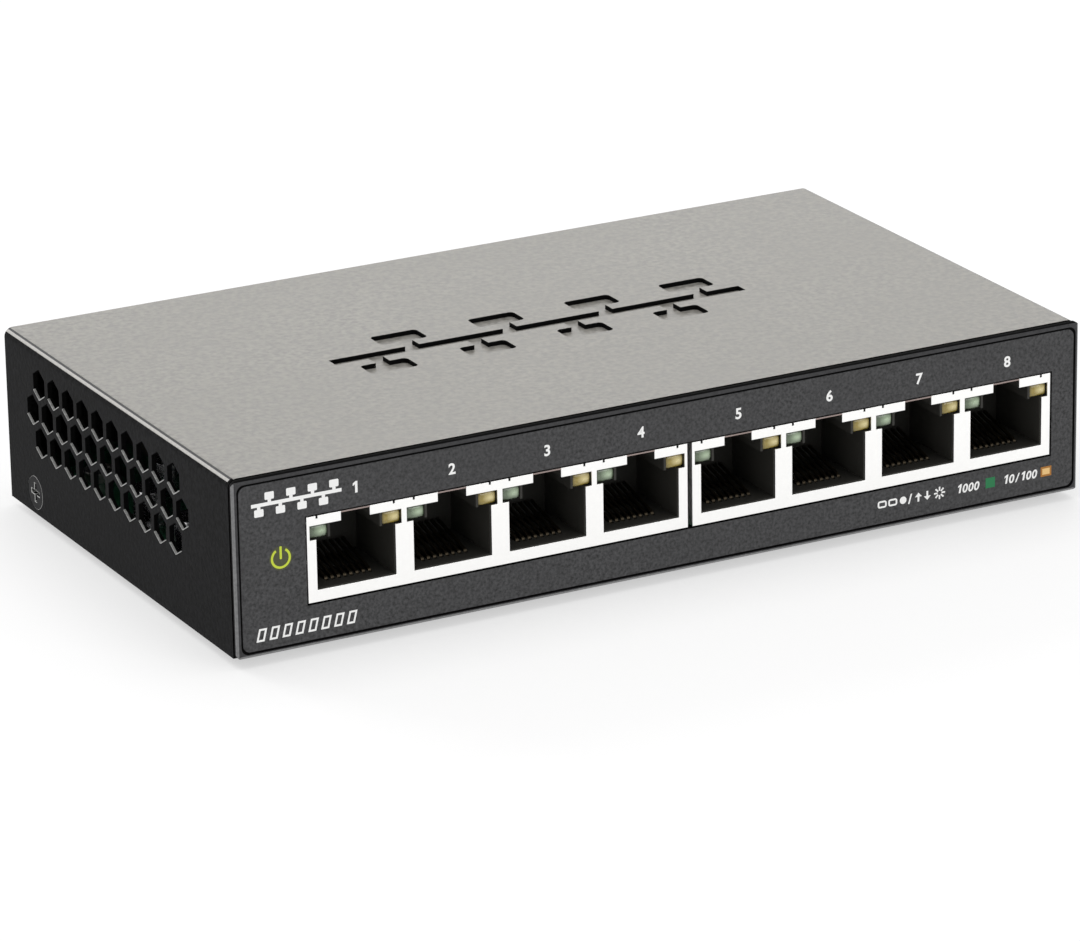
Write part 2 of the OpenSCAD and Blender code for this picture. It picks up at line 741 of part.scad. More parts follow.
module chip_resistors() {
    color([0.1, 0.1, 0.1])
    for (i = [0 : 9]) for (row = [0, 1])
        translate([chip_x - sink_w / 2 - 3 - row * 2.6, chip_y + (i - 4.5) * 3, board_top + 0.25])
            cube([0.8, 1.6, 0.5], center = true);
}

module input_diode() {
    color([0.12, 0.12, 0.12])
    translate([inlet_lx + 9, rear_y - 12, board_top]) {
        block([-1.3, 1.3], [-2.1, 2.1], [0.1, 2.2]);
        for (s = [-1, 1]) block([-0.7, 0.7], [s * 2.2 - 0.5, s * 2.2 + 0.5], [0, 0.3]);
    }
}

// ---- power light ----

module power_led() {
    color([0.9, 0.92, 0.75])
    translate([power_lx, front_in_y + 5, board_top + 0.6]) cube([2, 1.6, 1.2], center = true);
}

module power_light_pipe() {
    pipe_r = pipe_d / 2;
    tip_y = front_y + overlay_recess + 0.05;
    elbow_y = front_in_y + 5;
    color([0.88, 0.93, 0.85])
    difference() {
        union() {
            rod_y(power_lx, tip_y, power_z, pipe_d, elbow_y + pipe_r - tip_y);
            translate([power_lx, elbow_y, board_top + 1.5])
                cylinder(d = pipe_d, h = power_z - board_top - 1.5 + pipe_r);
            // feet that stand on the board
            for (s = [-1, 1]) block([power_lx + s * 1.9 - 0.6, power_lx + s * 1.9 + 0.6],
                [elbow_y - 0.8, elbow_y + 0.8], [board_top, board_top + 4]);
        }
        // the 45 degree mirror face behind the elbow
        translate([power_lx, elbow_y + pipe_r * 0.6, power_z + pipe_r * 0.6])
            rotate([-45, 0, 0]) block([-3, 3], [-4, 4], [0, 5]);
    }
}

// ---- rear inlet ----

module dc_jack_housing() {
    body_y = rear_in_y - 0.1 - inlet_body_l;
    color([0.06, 0.06, 0.06])
    difference() {
        union() {
            block([inlet_lx - inlet_body_w / 2, inlet_lx + inlet_body_w / 2],
                [body_y, rear_in_y - 0.1], [board_top, inlet_z + 4.6]);
            rod_y(inlet_lx, rear_in_y - 0.5, inlet_z, inlet_nose_d, rear_out_y - rear_in_y + 0.5);
        }
        rod_y(inlet_lx, rear_out_y - inlet_floor_l, inlet_z, inlet_d, inlet_floor_l + 1);
        rod_y(inlet_lx, body_y - 1, inlet_z, pin_base_d + 2 * part_fit, inlet_body_l);
        // the slot for the spring contact
        block([inlet_lx - 1.5, inlet_lx + 1.5], [rear_out_y - 9, rear_out_y - 2],
            [board_top + 0.6, inlet_z]);
    }
}

module dc_center_pin() {
    base_y = rear_in_y - 0.1 - inlet_body_l - 0.6;
    base_l = rear_out_y - inlet_floor_l - base_y + 0.4;
    color([0.86, 0.84, 0.78]) {
        rod_y(inlet_lx, base_y, inlet_z, pin_base_d, base_l);
        rod_y(inlet_lx, base_y + base_l - eps, inlet_z, inlet_pin_d, inlet_pin_l);
        translate([inlet_lx, base_y + base_l + inlet_pin_l - eps, inlet_z]) rotate([-90, 0, 0])
            cylinder(d1 = inlet_pin_d, d2 = inlet_pin_d / 2, h = 0.5);
        // the solder tag behind the housing
        block([inlet_lx - 1.2, inlet_lx + 1.2], [base_y - 0.4, base_y + eps],
            [board_top, inlet_z + 1.4]);
    }
}

module dc_spring_contact() {
    y0 = rear_out_y - 8.8;
    spring_r = inlet_d / 2 - 0.35;
    color([0.86, 0.84, 0.78])
    translate([inlet_lx, 0, 0]) along_x(2.4) polygon([
        [y0, board_top + 0.7], [y0 + 6.4, board_top + 0.7], [y0 + 6.4, board_top + 1.1],
        [y0 + 1.4, board_top + 1.1], [y0 + 4.4, inlet_z - spring_r - 0.4],
        [y0 + 6, inlet_z - spring_r - 1.2], [y0 + 6.2, inlet_z - spring_r - 0.8],
        [y0 + 4.4, inlet_z - spring_r], [y0, board_top + 1.5]
    ]);
}

// ---- reset button ----

module reset_switch_base() {
    color([0.1, 0.1, 0.1])
    difference() {
        block([reset_lx - switch_w / 2, reset_lx + switch_w / 2],
            [frame_y - frame_t - switch_l, frame_y - frame_t], [board_top, board_top + switch_h]);
        rod_y(reset_lx, frame_y - frame_t - pocket_l(), reset_z, dome_d + 0.2, pocket_l() + 1);
    }
}

function pocket_l() = plunger_flange_t + nib_l + dome_h + 0.1;

module reset_switch_frame() {
    leg_x = switch_w / 2 + 0.05;
    color([0.8, 0.8, 0.8])
    difference() {
        union() {
            block([reset_lx - leg_x - frame_t, reset_lx + leg_x + frame_t], [frame_y - frame_t, frame_y],
                [board_top + 0.3, board_top + switch_h]);
            for (s = [-1, 1]) block([reset_lx + s * (leg_x + frame_t / 2) - frame_t / 2,
                reset_lx + s * (leg_x + frame_t / 2) + frame_t / 2],
                [frame_y - frame_t - switch_l, frame_y - frame_t + eps],
                [board_top, board_top + switch_h - 0.6]);
        }
        rod_y(reset_lx, frame_y - 1, reset_z, plunger_d + 2 * plunger_fit, 3);
    }
}

// A shallow spring dome whose crown meets the plunger's nib
module reset_dome() {
    dome_r = (pow(dome_d / 2, 2) + pow(dome_h, 2)) / (2 * dome_h);
    base_y = frame_y - frame_t - pocket_l() + 0.02;
    color([0.8, 0.8, 0.78])
    translate([reset_lx, base_y, reset_z]) rotate([-90, 0, 0])
        translate([0, 0, dome_h - dome_r]) rotate_extrude() intersection() {
            difference() {
                circle(dome_r, $fn = 96);
                circle(dome_r - dome_t, $fn = 96);
            }
            translate([0, dome_r - dome_h]) square([dome_d / 2, dome_h + 1]);
        }
}

module reset_button() {
    flange_y = frame_y - frame_t - 0.03;
    color([0.12, 0.12, 0.12]) {
        rod_y(reset_lx, flange_y - eps, reset_z, plunger_d, plunger_tip_y - flange_y);
        rod_y(reset_lx, flange_y - plunger_flange_t, reset_z, plunger_flange_d, plunger_flange_t);
        rod_y(reset_lx, flange_y - plunger_flange_t - nib_l + 0.03, reset_z, 1, nib_l);
    }
}

top_cover();
chassis_base();
front_overlay();
rating_label();
rubber_feet();
cover_screws();
jack_shield(left_block_x);  // jack_shield_left
jack_shield(right_block_x);  // jack_shield_right
jack_housing(left_block_x);  // jack_housing_left
jack_housing(right_block_x);  // jack_housing_right
jack_contacts(left_block_x);  // jack_contacts_left
jack_contacts(right_block_x);  // jack_contacts_right
link_leds(-1, [0.3, 0.6, 0.45]);  // link_leds_green
link_leds(1, [0.8, 0.7, 0.3]);  // link_leds_yellow
led_leads();
circuit_board();
standoffs();
board_screws();
switch_chip();
thermal_pad();
heat_sink();
memory_chip();
flash_chip();
crystal();
port_transformers();
power_inductors();
regulator_chips();
electrolytic_capacitors();
ceramic_capacitors();
chip_resistors();
input_diode();
power_led();
power_light_pipe();
dc_jack_housing();
dc_center_pin();
dc_spring_contact();
reset_switch_base();
reset_switch_frame();
reset_dome();
reset_button();
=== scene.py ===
import json
import math

import bmesh
import bpy
from mathutils import Matrix, Vector


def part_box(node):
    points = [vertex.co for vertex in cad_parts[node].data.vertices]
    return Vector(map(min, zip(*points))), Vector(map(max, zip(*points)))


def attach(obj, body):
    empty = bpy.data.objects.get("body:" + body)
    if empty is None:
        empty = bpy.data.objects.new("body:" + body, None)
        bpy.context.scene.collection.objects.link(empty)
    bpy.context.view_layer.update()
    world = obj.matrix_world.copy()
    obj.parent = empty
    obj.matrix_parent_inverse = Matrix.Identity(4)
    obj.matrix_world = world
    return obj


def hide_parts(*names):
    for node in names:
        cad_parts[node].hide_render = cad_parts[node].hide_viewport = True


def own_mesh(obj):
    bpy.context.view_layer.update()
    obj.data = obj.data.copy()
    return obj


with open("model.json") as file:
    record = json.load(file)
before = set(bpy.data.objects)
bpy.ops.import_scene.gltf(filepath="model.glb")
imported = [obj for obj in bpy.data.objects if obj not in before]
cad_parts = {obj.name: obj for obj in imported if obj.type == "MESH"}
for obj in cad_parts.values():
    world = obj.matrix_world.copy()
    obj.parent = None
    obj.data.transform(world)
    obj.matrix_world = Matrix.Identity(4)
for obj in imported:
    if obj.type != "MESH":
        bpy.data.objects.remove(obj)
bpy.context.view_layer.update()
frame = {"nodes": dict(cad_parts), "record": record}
nodes = frame["nodes"]
mm = 0.001
bodies = frame["record"]["behaviour"]["bodies"]
ports = [Vector(m["pos_m"]) for m in frame["record"]["mounts"] if m["name"].startswith("port_")]
print("frame loaded:", len(nodes), "nodes,", len(ports), "ports")


# Nodes and finishes

def addNode(tree, kind, inputs=None, **settings):
    node = tree.nodes.new(kind)
    for name, value in settings.items():
        setattr(node, name, value)
    for name, value in (inputs or {}).items():
        if isinstance(value, bpy.types.NodeSocket):
            tree.links.new(value, node.inputs[name])
        else:
            node.inputs[name].default_value = value
    return node


def newFinish(name):
    material = bpy.data.materials.new(name)
    material.use_nodes = True
    tree = material.node_tree
    return material, tree, tree.nodes["Principled BSDF"]


def objectPlace(tree, stretch=(1, 1, 1)):
    place = addNode(tree, "ShaderNodeTexCoord").outputs["Object"]
    return addNode(tree, "ShaderNodeMapping", {"Vector": place, "Scale": stretch}).outputs["Vector"]


def noiseOf(tree, place, size, detail=3.0):     # size is one grain, in metres
    inputs = {"Vector": place, "Scale": 1 / size, "Detail": detail, "Roughness": 0.6}
    return addNode(tree, "ShaderNodeTexNoise", inputs).outputs["Fac"]


def spread(tree, factor, low, high, half=0.2):  # carries a noise's middle range to low..high
    inputs = {"Value": factor, "From Min": 0.5 - half, "From Max": 0.5 + half, "To Min": low, "To Max": high}
    return addNode(tree, "ShaderNodeMapRange", inputs).outputs["Result"]


def blendOf(tree, factor, first, second):
    return addNode(tree, "ShaderNodeMix", {0: factor, 6: first, 7: second}, data_type="RGBA").outputs[2]


def distanceTo(tree, place, point):
    inputs = {0: place, 1: point}
    return addNode(tree, "ShaderNodeVectorMath", inputs, operation="DISTANCE").outputs["Value"]


def shade(colour, factor):
    return tuple(min(1.0, c * factor) for c in colour[:3]) + (1.0,)


# Most finishes: a grain that tints, roughens and raises the surface, and wide faint patches
def grainedFinish(name, look):
    material, tree, shader = newFinish(name)
    place = objectPlace(tree, look.get("stretch", (1, 1, 1)))
    grain = noiseOf(tree, place, look["grain"], look.get("detail", 3.0))
    patches = noiseOf(tree, place, look.get("patch", 0.02), 2.0)
    vary = look["vary"]
    speckled = blendOf(tree, spread(tree, grain, 0, 1, look.get("half", 0.2)),
                       shade(look["colour"], 1 - vary), shade(look["colour"], 1 + vary))
    tinted = blendOf(tree, spread(tree, patches, 0, look.get("patchShare", 0.35)), speckled,
                     shade(look.get("patchColour", look["colour"]), look.get("patchShade", 0.8)))
    tree.links.new(tinted, shader.inputs["Base Color"])
    low, high = look["roughness"]
    tree.links.new(spread(tree, grain, low, high), shader.inputs["Roughness"])
    bump = addNode(tree, "ShaderNodeBump", {"Height": grain, "Distance": look["bump"], "Strength": 1.0})
    tree.links.new(bump.outputs["Normal"], shader.inputs["Normal"])
    shader.inputs["Metallic"].default_value = look.get("metallic", 0.0)
    shader.inputs["Specular IOR Level"].default_value = look.get("specular", 0.5)
    shader.inputs["Coat Weight"].default_value = look.get("coat", 0.0)
    shader.inputs["Coat Roughness"].default_value = look.get("coatRoughness", 0.2)
    shader.inputs["Transmission Weight"].default_value = look.get("clear", 0.0)
    return material


caseLooks = {
    # the top's light grey is painted sheen: the black powder as it looks under the overhead light
    "topPaint": {"colour": (0.240, 0.230, 0.208), "vary": 0.34, "half": 0.15, "grain": 0.95 * mm,
                 "bump": 0.05 * mm, "roughness": (0.34, 0.50), "detail": 4.0, "patch": 0.03,
                 "patchShade": 0.9, "specular": 0.5},
    # a painted highlight along the cover's bends, lighter than the top
    "bendPaint": {"colour": (0.37, 0.355, 0.33), "vary": 0.3, "grain": 0.95 * mm,
                  "bump": 0.05 * mm, "roughness": (0.34, 0.50), "detail": 4.0, "specular": 0.5},
    "blackPowder": {"colour": (0.011, 0.011, 0.0115), "vary": 0.8, "half": 0.14, "grain": 0.75 * mm,
                    "detail": 4.0, "bump": 0.08 * mm, "roughness": (0.45, 0.7), "specular": 0.03},
    # a dim painted sheen: the black powder made lighter on the rim's forward roundings, and the dimmer line
    # along the cover's bend
    "rimPowder": {"colour": (0.032, 0.032, 0.034), "vary": 0.4, "grain": 0.5 * mm,
                  "bump": 0.02 * mm, "roughness": (0.4, 0.55), "specular": 0.3},
    # a painted highlight on the rim's side and lower roundings
    "rimPolished": {"colour": (0.17, 0.17, 0.173), "vary": 0.25, "grain": 0.5 * mm,
                    "bump": 0.02 * mm, "roughness": (0.3, 0.45), "specular": 0.5},
    # a painted highlight for edges: the vents' lower edges and strips, and the side screws' rims
    "rubbedEdge": {"colour": (0.42, 0.42, 0.41), "vary": 0.4, "grain": 0.4 * mm,
                   "bump": 0.01 * mm, "roughness": (0.3, 0.45), "specular": 0.6},
    "shadowPaint": {"colour": (0.004, 0.004, 0.004), "vary": 0.4, "grain": 0.4 * mm,
                    "bump": 0.02 * mm, "roughness": (0.6, 0.8), "specular": 0.03},
    "overlayFilm": {"colour": (0.0345, 0.0345, 0.036), "vary": 0.9, "grain": 0.48 * mm, "detail": 4.0,
                    "bump": 0.035 * mm, "roughness": (0.4, 0.52), "specular": 0.4},
    "footRubber": {"colour": (0.018, 0.018, 0.018), "vary": 0.3, "grain": 0.3 * mm,
                   "bump": 0.02 * mm, "roughness": (0.75, 0.9), "specular": 0.3},
    "blackScrew": {"colour": (0.012, 0.012, 0.013), "vary": 0.4, "grain": 0.3 * mm, "bump": 0.01 * mm,
                   "roughness": (0.4, 0.55), "specular": 0.06},
    "labelFilm": {"colour": (0.72, 0.73, 0.73), "vary": 0.03, "grain": 0.5 * mm,
                  "bump": 0.002 * mm, "roughness": (0.3, 0.4)},
}
socketLooks = {
    "tinnedSteel": {"colour": (0.985, 0.98, 0.965), "vary": 0.012, "grain": 0.6 * mm, "bump": 0.002 * mm,
                    "roughness": (0.28, 0.4), "metallic": 1.0, "patch": 0.006, "patchShade": 0.975},
    # painted shade: the tinned steel darkened for the strip over each latch notch
    "dimTin": {"colour": (0.36, 0.29, 0.27), "vary": 0.1, "grain": 0.4 * mm, "bump": 0.002 * mm,
               "roughness": (0.45, 0.6), "metallic": 1.0},
    "blackPlastic": {"colour": (0.030, 0.029, 0.025), "vary": 0.3, "grain": 0.12 * mm,
                     "bump": 0.004 * mm, "roughness": (0.5, 0.65), "specular": 0.25},
    "goldPlate": {"colour": (0.055, 0.044, 0.030), "vary": 0.15, "grain": 0.3 * mm, "bump": 0.002 * mm,
                  "roughness": (0.35, 0.5), "metallic": 1.0},
    "tinnedLead": {"colour": (0.72, 0.72, 0.71), "vary": 0.08, "grain": 0.25 * mm, "bump": 0.003 * mm,
                   "roughness": (0.3, 0.45), "metallic": 1.0},
}
boardLooks = {
    "nickelSteel": {"colour": (0.66, 0.65, 0.62), "vary": 0.06, "grain": 0.3 * mm, "bump": 0.004 * mm,
                    "roughness": (0.25, 0.4), "metallic": 1.0},
    "chipResin": {"colour": (0.02, 0.02, 0.021), "vary": 0.25, "grain": 0.08 * mm,
                  "bump": 0.004 * mm, "roughness": (0.55, 0.7)},
    "thermalRubber": {"colour": (0.28, 0.34, 0.45), "vary": 0.1, "grain": 0.15 * mm,
                      "bump": 0.01 * mm, "roughness": (0.7, 0.85)},
    "sinkAluminium": {"colour": (0.55, 0.56, 0.57), "vary": 0.07, "grain": 0.3 * mm, "bump": 0.004 * mm,
                      "roughness": (0.35, 0.5), "metallic": 1.0, "stretch": (1, 0.08, 1)},
    "crystalCan": {"colour": (0.7, 0.7, 0.69), "vary": 0.05, "grain": 0.3 * mm, "bump": 0.003 * mm,
                   "roughness": (0.2, 0.35), "metallic": 1.0},
    "ferrite": {"colour": (0.05, 0.05, 0.052), "vary": 0.2, "grain": 0.12 * mm,
                "bump": 0.012 * mm, "roughness": (0.5, 0.7)},
    "canAluminium": {"colour": (0.78, 0.78, 0.79), "vary": 0.04, "grain": 0.25 * mm, "bump": 0.002 * mm,
                     "roughness": (0.2, 0.3), "metallic": 1.0},
    "ceramicChip": {"colour": (0.36, 0.25, 0.14), "vary": 0.12, "grain": 0.1 * mm,
                    "bump": 0.003 * mm, "roughness": (0.4, 0.55)},
    "resistorChip": {"colour": (0.015, 0.015, 0.016), "vary": 0.2, "grain": 0.1 * mm,
                     "bump": 0.003 * mm, "roughness": (0.3, 0.5)},
    "ledResin": {"colour": (0.75, 0.72, 0.38), "vary": 0.08, "grain": 0.2 * mm,
                 "bump": 0.002 * mm, "roughness": (0.3, 0.4)},
    "clearAcrylic": {"colour": (0.93, 0.96, 0.93), "vary": 0.02, "grain": 0.5 * mm,
                     "bump": 0.001 * mm, "roughness": (0.05, 0.1), "clear": 0.9},
    "tinnedBrass": {"colour": (0.74, 0.69, 0.56), "vary": 0.06, "grain": 0.3 * mm, "bump": 0.003 * mm,
                    "roughness": (0.2, 0.35), "metallic": 1.0},
}
inkLooks = {
    "whiteInk": {"colour": (0.86, 0.86, 0.85), "vary": 0.03, "grain": 0.15 * mm, "bump": 0.002 * mm,
                 "roughness": (0.45, 0.6), "patchShade": 0.96},
    "limeInk": {"colour": (0.52, 0.62, 0.03), "vary": 0.06, "grain": 0.15 * mm, "bump": 0.002 * mm,
                "roughness": (0.45, 0.6)},
    "greenInk": {"colour": (0.0, 0.17, 0.05), "vary": 0.06, "grain": 0.15 * mm, "bump": 0.002 * mm,
                 "roughness": (0.45, 0.6)},
    "orangeInk": {"colour": (0.38, 0.15, 0.012), "vary": 0.05, "grain": 0.15 * mm, "bump": 0.002 * mm,
                  "roughness": (0.45, 0.6)},
    "amberInk": {"colour": (0.80, 0.52, 0.20), "vary": 0.05, "grain": 0.15 * mm, "bump": 0.002 * mm,
                 "roughness": (0.45, 0.6)},
    "oliveInk": {"colour": (0.05, 0.055, 0.018), "vary": 0.2, "grain": 0.3 * mm, "bump": 0.002 * mm,
                 "roughness": (0.4, 0.5)},
    "greyInk": {"colour": (0.07, 0.07, 0.075), "vary": 0.05, "grain": 0.15 * mm, "bump": 0.002 * mm,
                "roughness": (0.45, 0.6)},
}
finishes = {}
for looks in (caseLooks, socketLooks, boardLooks, inkLooks):
    for finishName, look in looks.items():
        finishes[finishName] = grainedFinish(finishName, look)


# Solder mask over copper: long blocks of tracks under green, with plated dots between them
def solderMask(name, look):
    material, tree, shader = newFinish(name)
    place = objectPlace(tree)
    tracks = addNode(tree, "ShaderNodeTexBrick",
                     {"Vector": place, "Scale": 1.0, "Color1": (1, 1, 1, 1), "Color2": (0.8, 0.8, 0.8, 1),
                      "Mortar": (0, 0, 0, 1), "Mortar Size": look["gap"], "Mortar Smooth": 0.1,
                      "Brick Width": look["trackLength"], "Row Height": look["trackPitch"]})
    dots = addNode(tree, "ShaderNodeTexVoronoi",
                   {"Vector": place, "Scale": 1 / look["viaPitch"], "Randomness": 0.6})
    isVia = addNode(tree, "ShaderNodeMath", {0: dots.outputs["Distance"], 1: look["viaSize"]},
                    operation="LESS_THAN").outputs[0]
    grain = noiseOf(tree, place, look["grain"])
    mask = blendOf(tree, tracks.outputs["Color"], look["maskColour"], look["trackColour"])
    mottled = blendOf(tree, spread(tree, grain, 0, 0.3), mask, shade(look["maskColour"], 0.6))
    tree.links.new(blendOf(tree, isVia, mottled, look["viaColour"]), shader.inputs["Base Color"])
    tree.links.new(isVia, shader.inputs["Metallic"])
    tree.links.new(spread(tree, grain, 0.25, 0.4), shader.inputs["Roughness"])
    bump = addNode(tree, "ShaderNodeBump",
                   {"Height": tracks.outputs["Color"], "Distance": look["bump"], "Strength": 0.6})
    tree.links.new(bump.outputs["Normal"], shader.inputs["Normal"])
    return material


finishes["solderMask"] = solderMask("solderMask", {
    "maskColour": (0.006, 0.05, 0.022, 1), "trackColour": (0.01, 0.085, 0.038, 1),
    "viaColour": (0.16, 0.14, 0.08, 1), "trackPitch": 0.9 * mm, "trackLength": 9 * mm, "gap": 0.25 * mm,
    "viaPitch": 5 * mm, "viaSize": 0.07, "grain": 0.4 * mm, "bump": 0.02 * mm})


# A diffusing lens, darker towards its edges, with a painted highlight off centre on its front
def lensFinish(name, look):
    material, tree, shader = newFinish(name)
    across = addNode(tree, "ShaderNodeUVMap", uv_map="lensMap").outputs["UV"]
    away = distanceTo(tree, across, look["spot"])
    lensHighlight = addNode(tree, "ShaderNodeMapRange",
                   {"Value": away, "From Min": 0.06, "From Max": look["reach"],
                    "To Min": 1.0, "To Max": 0.0}).outputs["Result"]
    haze = noiseOf(tree, objectPlace(tree), 0.35 * mm)
    body = blendOf(tree, spread(tree, haze, 0, 0.6), look["colour"], shade(look["colour"], 0.55))
    outward = distanceTo(tree, across, (0.5, 0.5, 0))
    rim = addNode(tree, "ShaderNodeMapRange",
                  {"Value": outward, "From Min": 0.3, "From Max": 0.62}).outputs["Result"]
    body = blendOf(tree, rim, body, shade(look["colour"], 0.35))
    tree.links.new(blendOf(tree, lensHighlight, body, look["highlightColour"]), shader.inputs["Base Color"])
    tree.links.new(spread(tree, haze, 0.18, 0.3), shader.inputs["Roughness"])
    shader.inputs["Transmission Weight"].default_value = 0.12
    shader.inputs["Coat Weight"].default_value = 0.4
    shader.inputs["Coat Roughness"].default_value = 0.12
    return material


# the spot and its colour are a painted highlight on each lens
finishes["greenLens"] = lensFinish("greenLens", {
    "colour": (0.15, 0.20, 0.125, 1), "highlightColour": (0.42, 0.53, 0.36, 1),
    "spot": (0.66, 0.55, 0), "reach": 0.42})
finishes["yellowLens"] = lensFinish("yellowLens", {
    "colour": (0.37, 0.28, 0.055, 1), "highlightColour": (0.72, 0.62, 0.30, 1),
    "spot": (0.66, 0.55, 0), "reach": 0.42})
print("finishes made:", len(finishes))


# Making pieces

def newPiece(name, mesh, *finishNames):
    piece = bpy.data.objects.new(name, mesh)
    bpy.context.scene.collection.objects.link(piece)
    if finishNames:
        mesh.materials.clear()
        for finishName in finishNames:
            mesh.materials.append(finishes[finishName])
    return piece


# A clean copy of a node: its loose triangles are welded and its flat faces made whole
def weldedCopy(name, nodeName, *finishNames):
    welder = bmesh.new()
    welder.from_mesh(nodes[nodeName].data)
    bmesh.ops.remove_doubles(welder, verts=welder.verts, dist=0.002 * mm)
    bmesh.ops.dissolve_limit(welder, angle_limit=math.radians(0.6), verts=welder.verts, edges=welder.edges)
    mesh = bpy.data.meshes.new(name)
    welder.to_mesh(mesh)
    welder.free()
    for attribute in [a.name for a in mesh.attributes if a.name.startswith("custom_normal")]:
        mesh.attributes.remove(mesh.attributes[attribute])
    return newPiece(name, mesh, *finishNames)


def smoothTo(piece, degrees=34):
    piece.data.shade_smooth()
    piece.data.set_sharp_from_angle(angle=math.radians(degrees))


def breakEdges(piece, width, segments=2, degrees=34, finishIndex=-1):
    smoothTo(piece, degrees)
    bevel = piece.modifiers.new("brokenEdges", "BEVEL")
    bevel.width = width
    bevel.segments = segments
    bevel.limit_method = "ANGLE"
    bevel.angle_limit = math.radians(degrees)
    bevel.use_clamp_overlap = True
    bevel.harden_normals = True
    bevel.material = finishIndex
    return bevel


def settle(piece, body, slotName, *replaced):
    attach(piece, body)
    if replaced:
        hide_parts(*replaced)
    return piece


# A flat shape given by its outline (u, v) becomes a thin prism; toPlace carries (u, v, height) to its place
def addPrism(builder, outline, toPlace, thickness):
    base = [builder.verts.new(toPlace(u, v, 0.0)) for u, v in outline]
    face = [builder.verts.new(toPlace(u, v, thickness)) for u, v in outline]
    builder.faces.new(base[::-1])
    builder.faces.new(face)
    for i in range(len(outline)):
        j = (i + 1) % len(outline)
        builder.faces.new((base[i], base[j], face[j], face[i]))


# The same with a hole: both outlines have the same number of points
def addRing(builder, outer, inner, toPlace, thickness):
    loops = [[builder.verts.new(toPlace(u, v, level)) for u, v in outline]
             for outline, level in ((outer, 0.0), (outer, thickness), (inner, thickness), (inner, 0.0))]
    for i in range(len(outer)):
        j = (i + 1) % len(outer)
        for first, second in zip(loops, loops[1:] + loops[:1]):
            builder.faces.new((first[i], first[j], second[j], second[i]))


def barOutline(u, v, width, height, slant=0.0):
    lean = height * slant / 2
    return [(u - width / 2 - lean, v - height / 2), (u + width / 2 - lean, v - height / 2),
            (u + width / 2 + lean, v + height / 2), (u - width / 2 + lean, v + height / 2)]


def roundOutline(u, v, width, height, radius, steps=5):
    points = []
    for cornerU, cornerV, start in ((1, 1, 0), (-1, 1, 90), (-1, -1, 180), (1, -1, 270)):
        for k in range(steps + 1):
            angle = math.radians(start + 90 * k / steps)
            points.append((u + cornerU * (width / 2 - radius) + radius * math.cos(angle),
                           v + cornerV * (height / 2 - radius) + radius * math.sin(angle)))
    return points


def arcOutline(u, v, inner, outer, start, end, steps=28):
    angles = [math.radians(start + (end - start) * k / steps) for k in range(steps + 1)]
    return ([(u + outer * math.cos(a), v + outer * math.sin(a)) for a in angles]
            + [(u + inner * math.cos(a), v + inner * math.sin(a)) for a in reversed(angles)])


def discOutline(u, v, radius, steps=20):
    return [(u + radius * math.cos(math.tau * k / steps), v + radius * math.sin(math.tau * k / steps))
            for k in range(steps)]


def digitMesh(digit, size, weight, thickness):
    curve = bpy.data.curves.new("digit", "FONT")
    curve.body, curve.size, curve.align_x = digit, size, "CENTER"
    curve.offset, curve.extrude, curve.resolution_u = weight, thickness / 2, 4
    holder = bpy.data.objects.new("digit", curve)
    bpy.context.scene.collection.objects.link(holder)
    bpy.context.view_layer.update()
    mesh = bpy.data.meshes.new_from_object(holder.evaluated_get(bpy.context.evaluated_depsgraph_get()))
    bpy.data.objects.remove(holder)
    bpy.data.curves.remove(curve)
    return mesh


# Bold figures; the font's own 1 is a bare bar, so it gets an outline with a flag instead
def addDigits(builder, digits, u, v, height, toPlace, thickness, slant=0.0):
    one = [(-0.02, 0.0), (0.2, 0.0), (0.2, 1.0), (0.04, 1.0), (-0.22, 0.82), (-0.22, 0.62), (-0.02, 0.74)]
    for i, digit in enumerate(digits):
        middle = u + (i - (len(digits) - 1) / 2) * 0.72 * height
        if digit == "1":
            addPrism(builder, [(middle + (x + slant * (y - 0.5)) * height, v + (y - 0.5) * height)
                               for x, y in one], toPlace, thickness)
            continue
        # the font's figures are about 0.7 of its size, and the weight adds a little
        mesh = digitMesh(digit, height / 0.76, 0.035 * height, thickness)
        for vertex in mesh.vertices:
            x, y, z = vertex.co
            vertex.co = toPlace(middle + x + slant * (y - height / 2), v + y - height / 2, z + thickness / 2)
        builder.from_mesh(mesh)
        bpy.data.meshes.remove(mesh)


def closePrint(name, builder, finishName):
    bmesh.ops.remove_doubles(builder, verts=builder.verts, dist=0.0005 * mm)
    bmesh.ops.recalc_face_normals(builder, faces=builder.faces)
    mesh = bpy.data.meshes.new(name)
    builder.to_mesh(mesh)
    builder.free()
    return newPiece(name, mesh, finishName)


# Geometry node trees

def newTree(name, sockets):
    tree = bpy.data.node_groups.new(name, "GeometryNodeTree")
    tree.interface.new_socket("Geometry", in_out="INPUT", socket_type="NodeSocketGeometry")
    for socketName, kind in sockets:
        tree.interface.new_socket(socketName, in_out="INPUT", socket_type="NodeSocket" + kind)
    tree.interface.new_socket("Geometry", in_out="OUTPUT", socket_type="NodeSocketGeometry")
    entry = tree.nodes.new("NodeGroupInput")
    return tree, entry.outputs


def closeTree(tree, geometry, material):
    real = addNode(tree, "GeometryNodeRealizeInstances", {"Geometry": geometry})
    painted = addNode(tree, "GeometryNodeSetMaterial", {"Geometry": real.outputs[0], "Material": material})
    addNode(tree, "NodeGroupOutput", {"Geometry": painted.outputs[0]})
    return tree


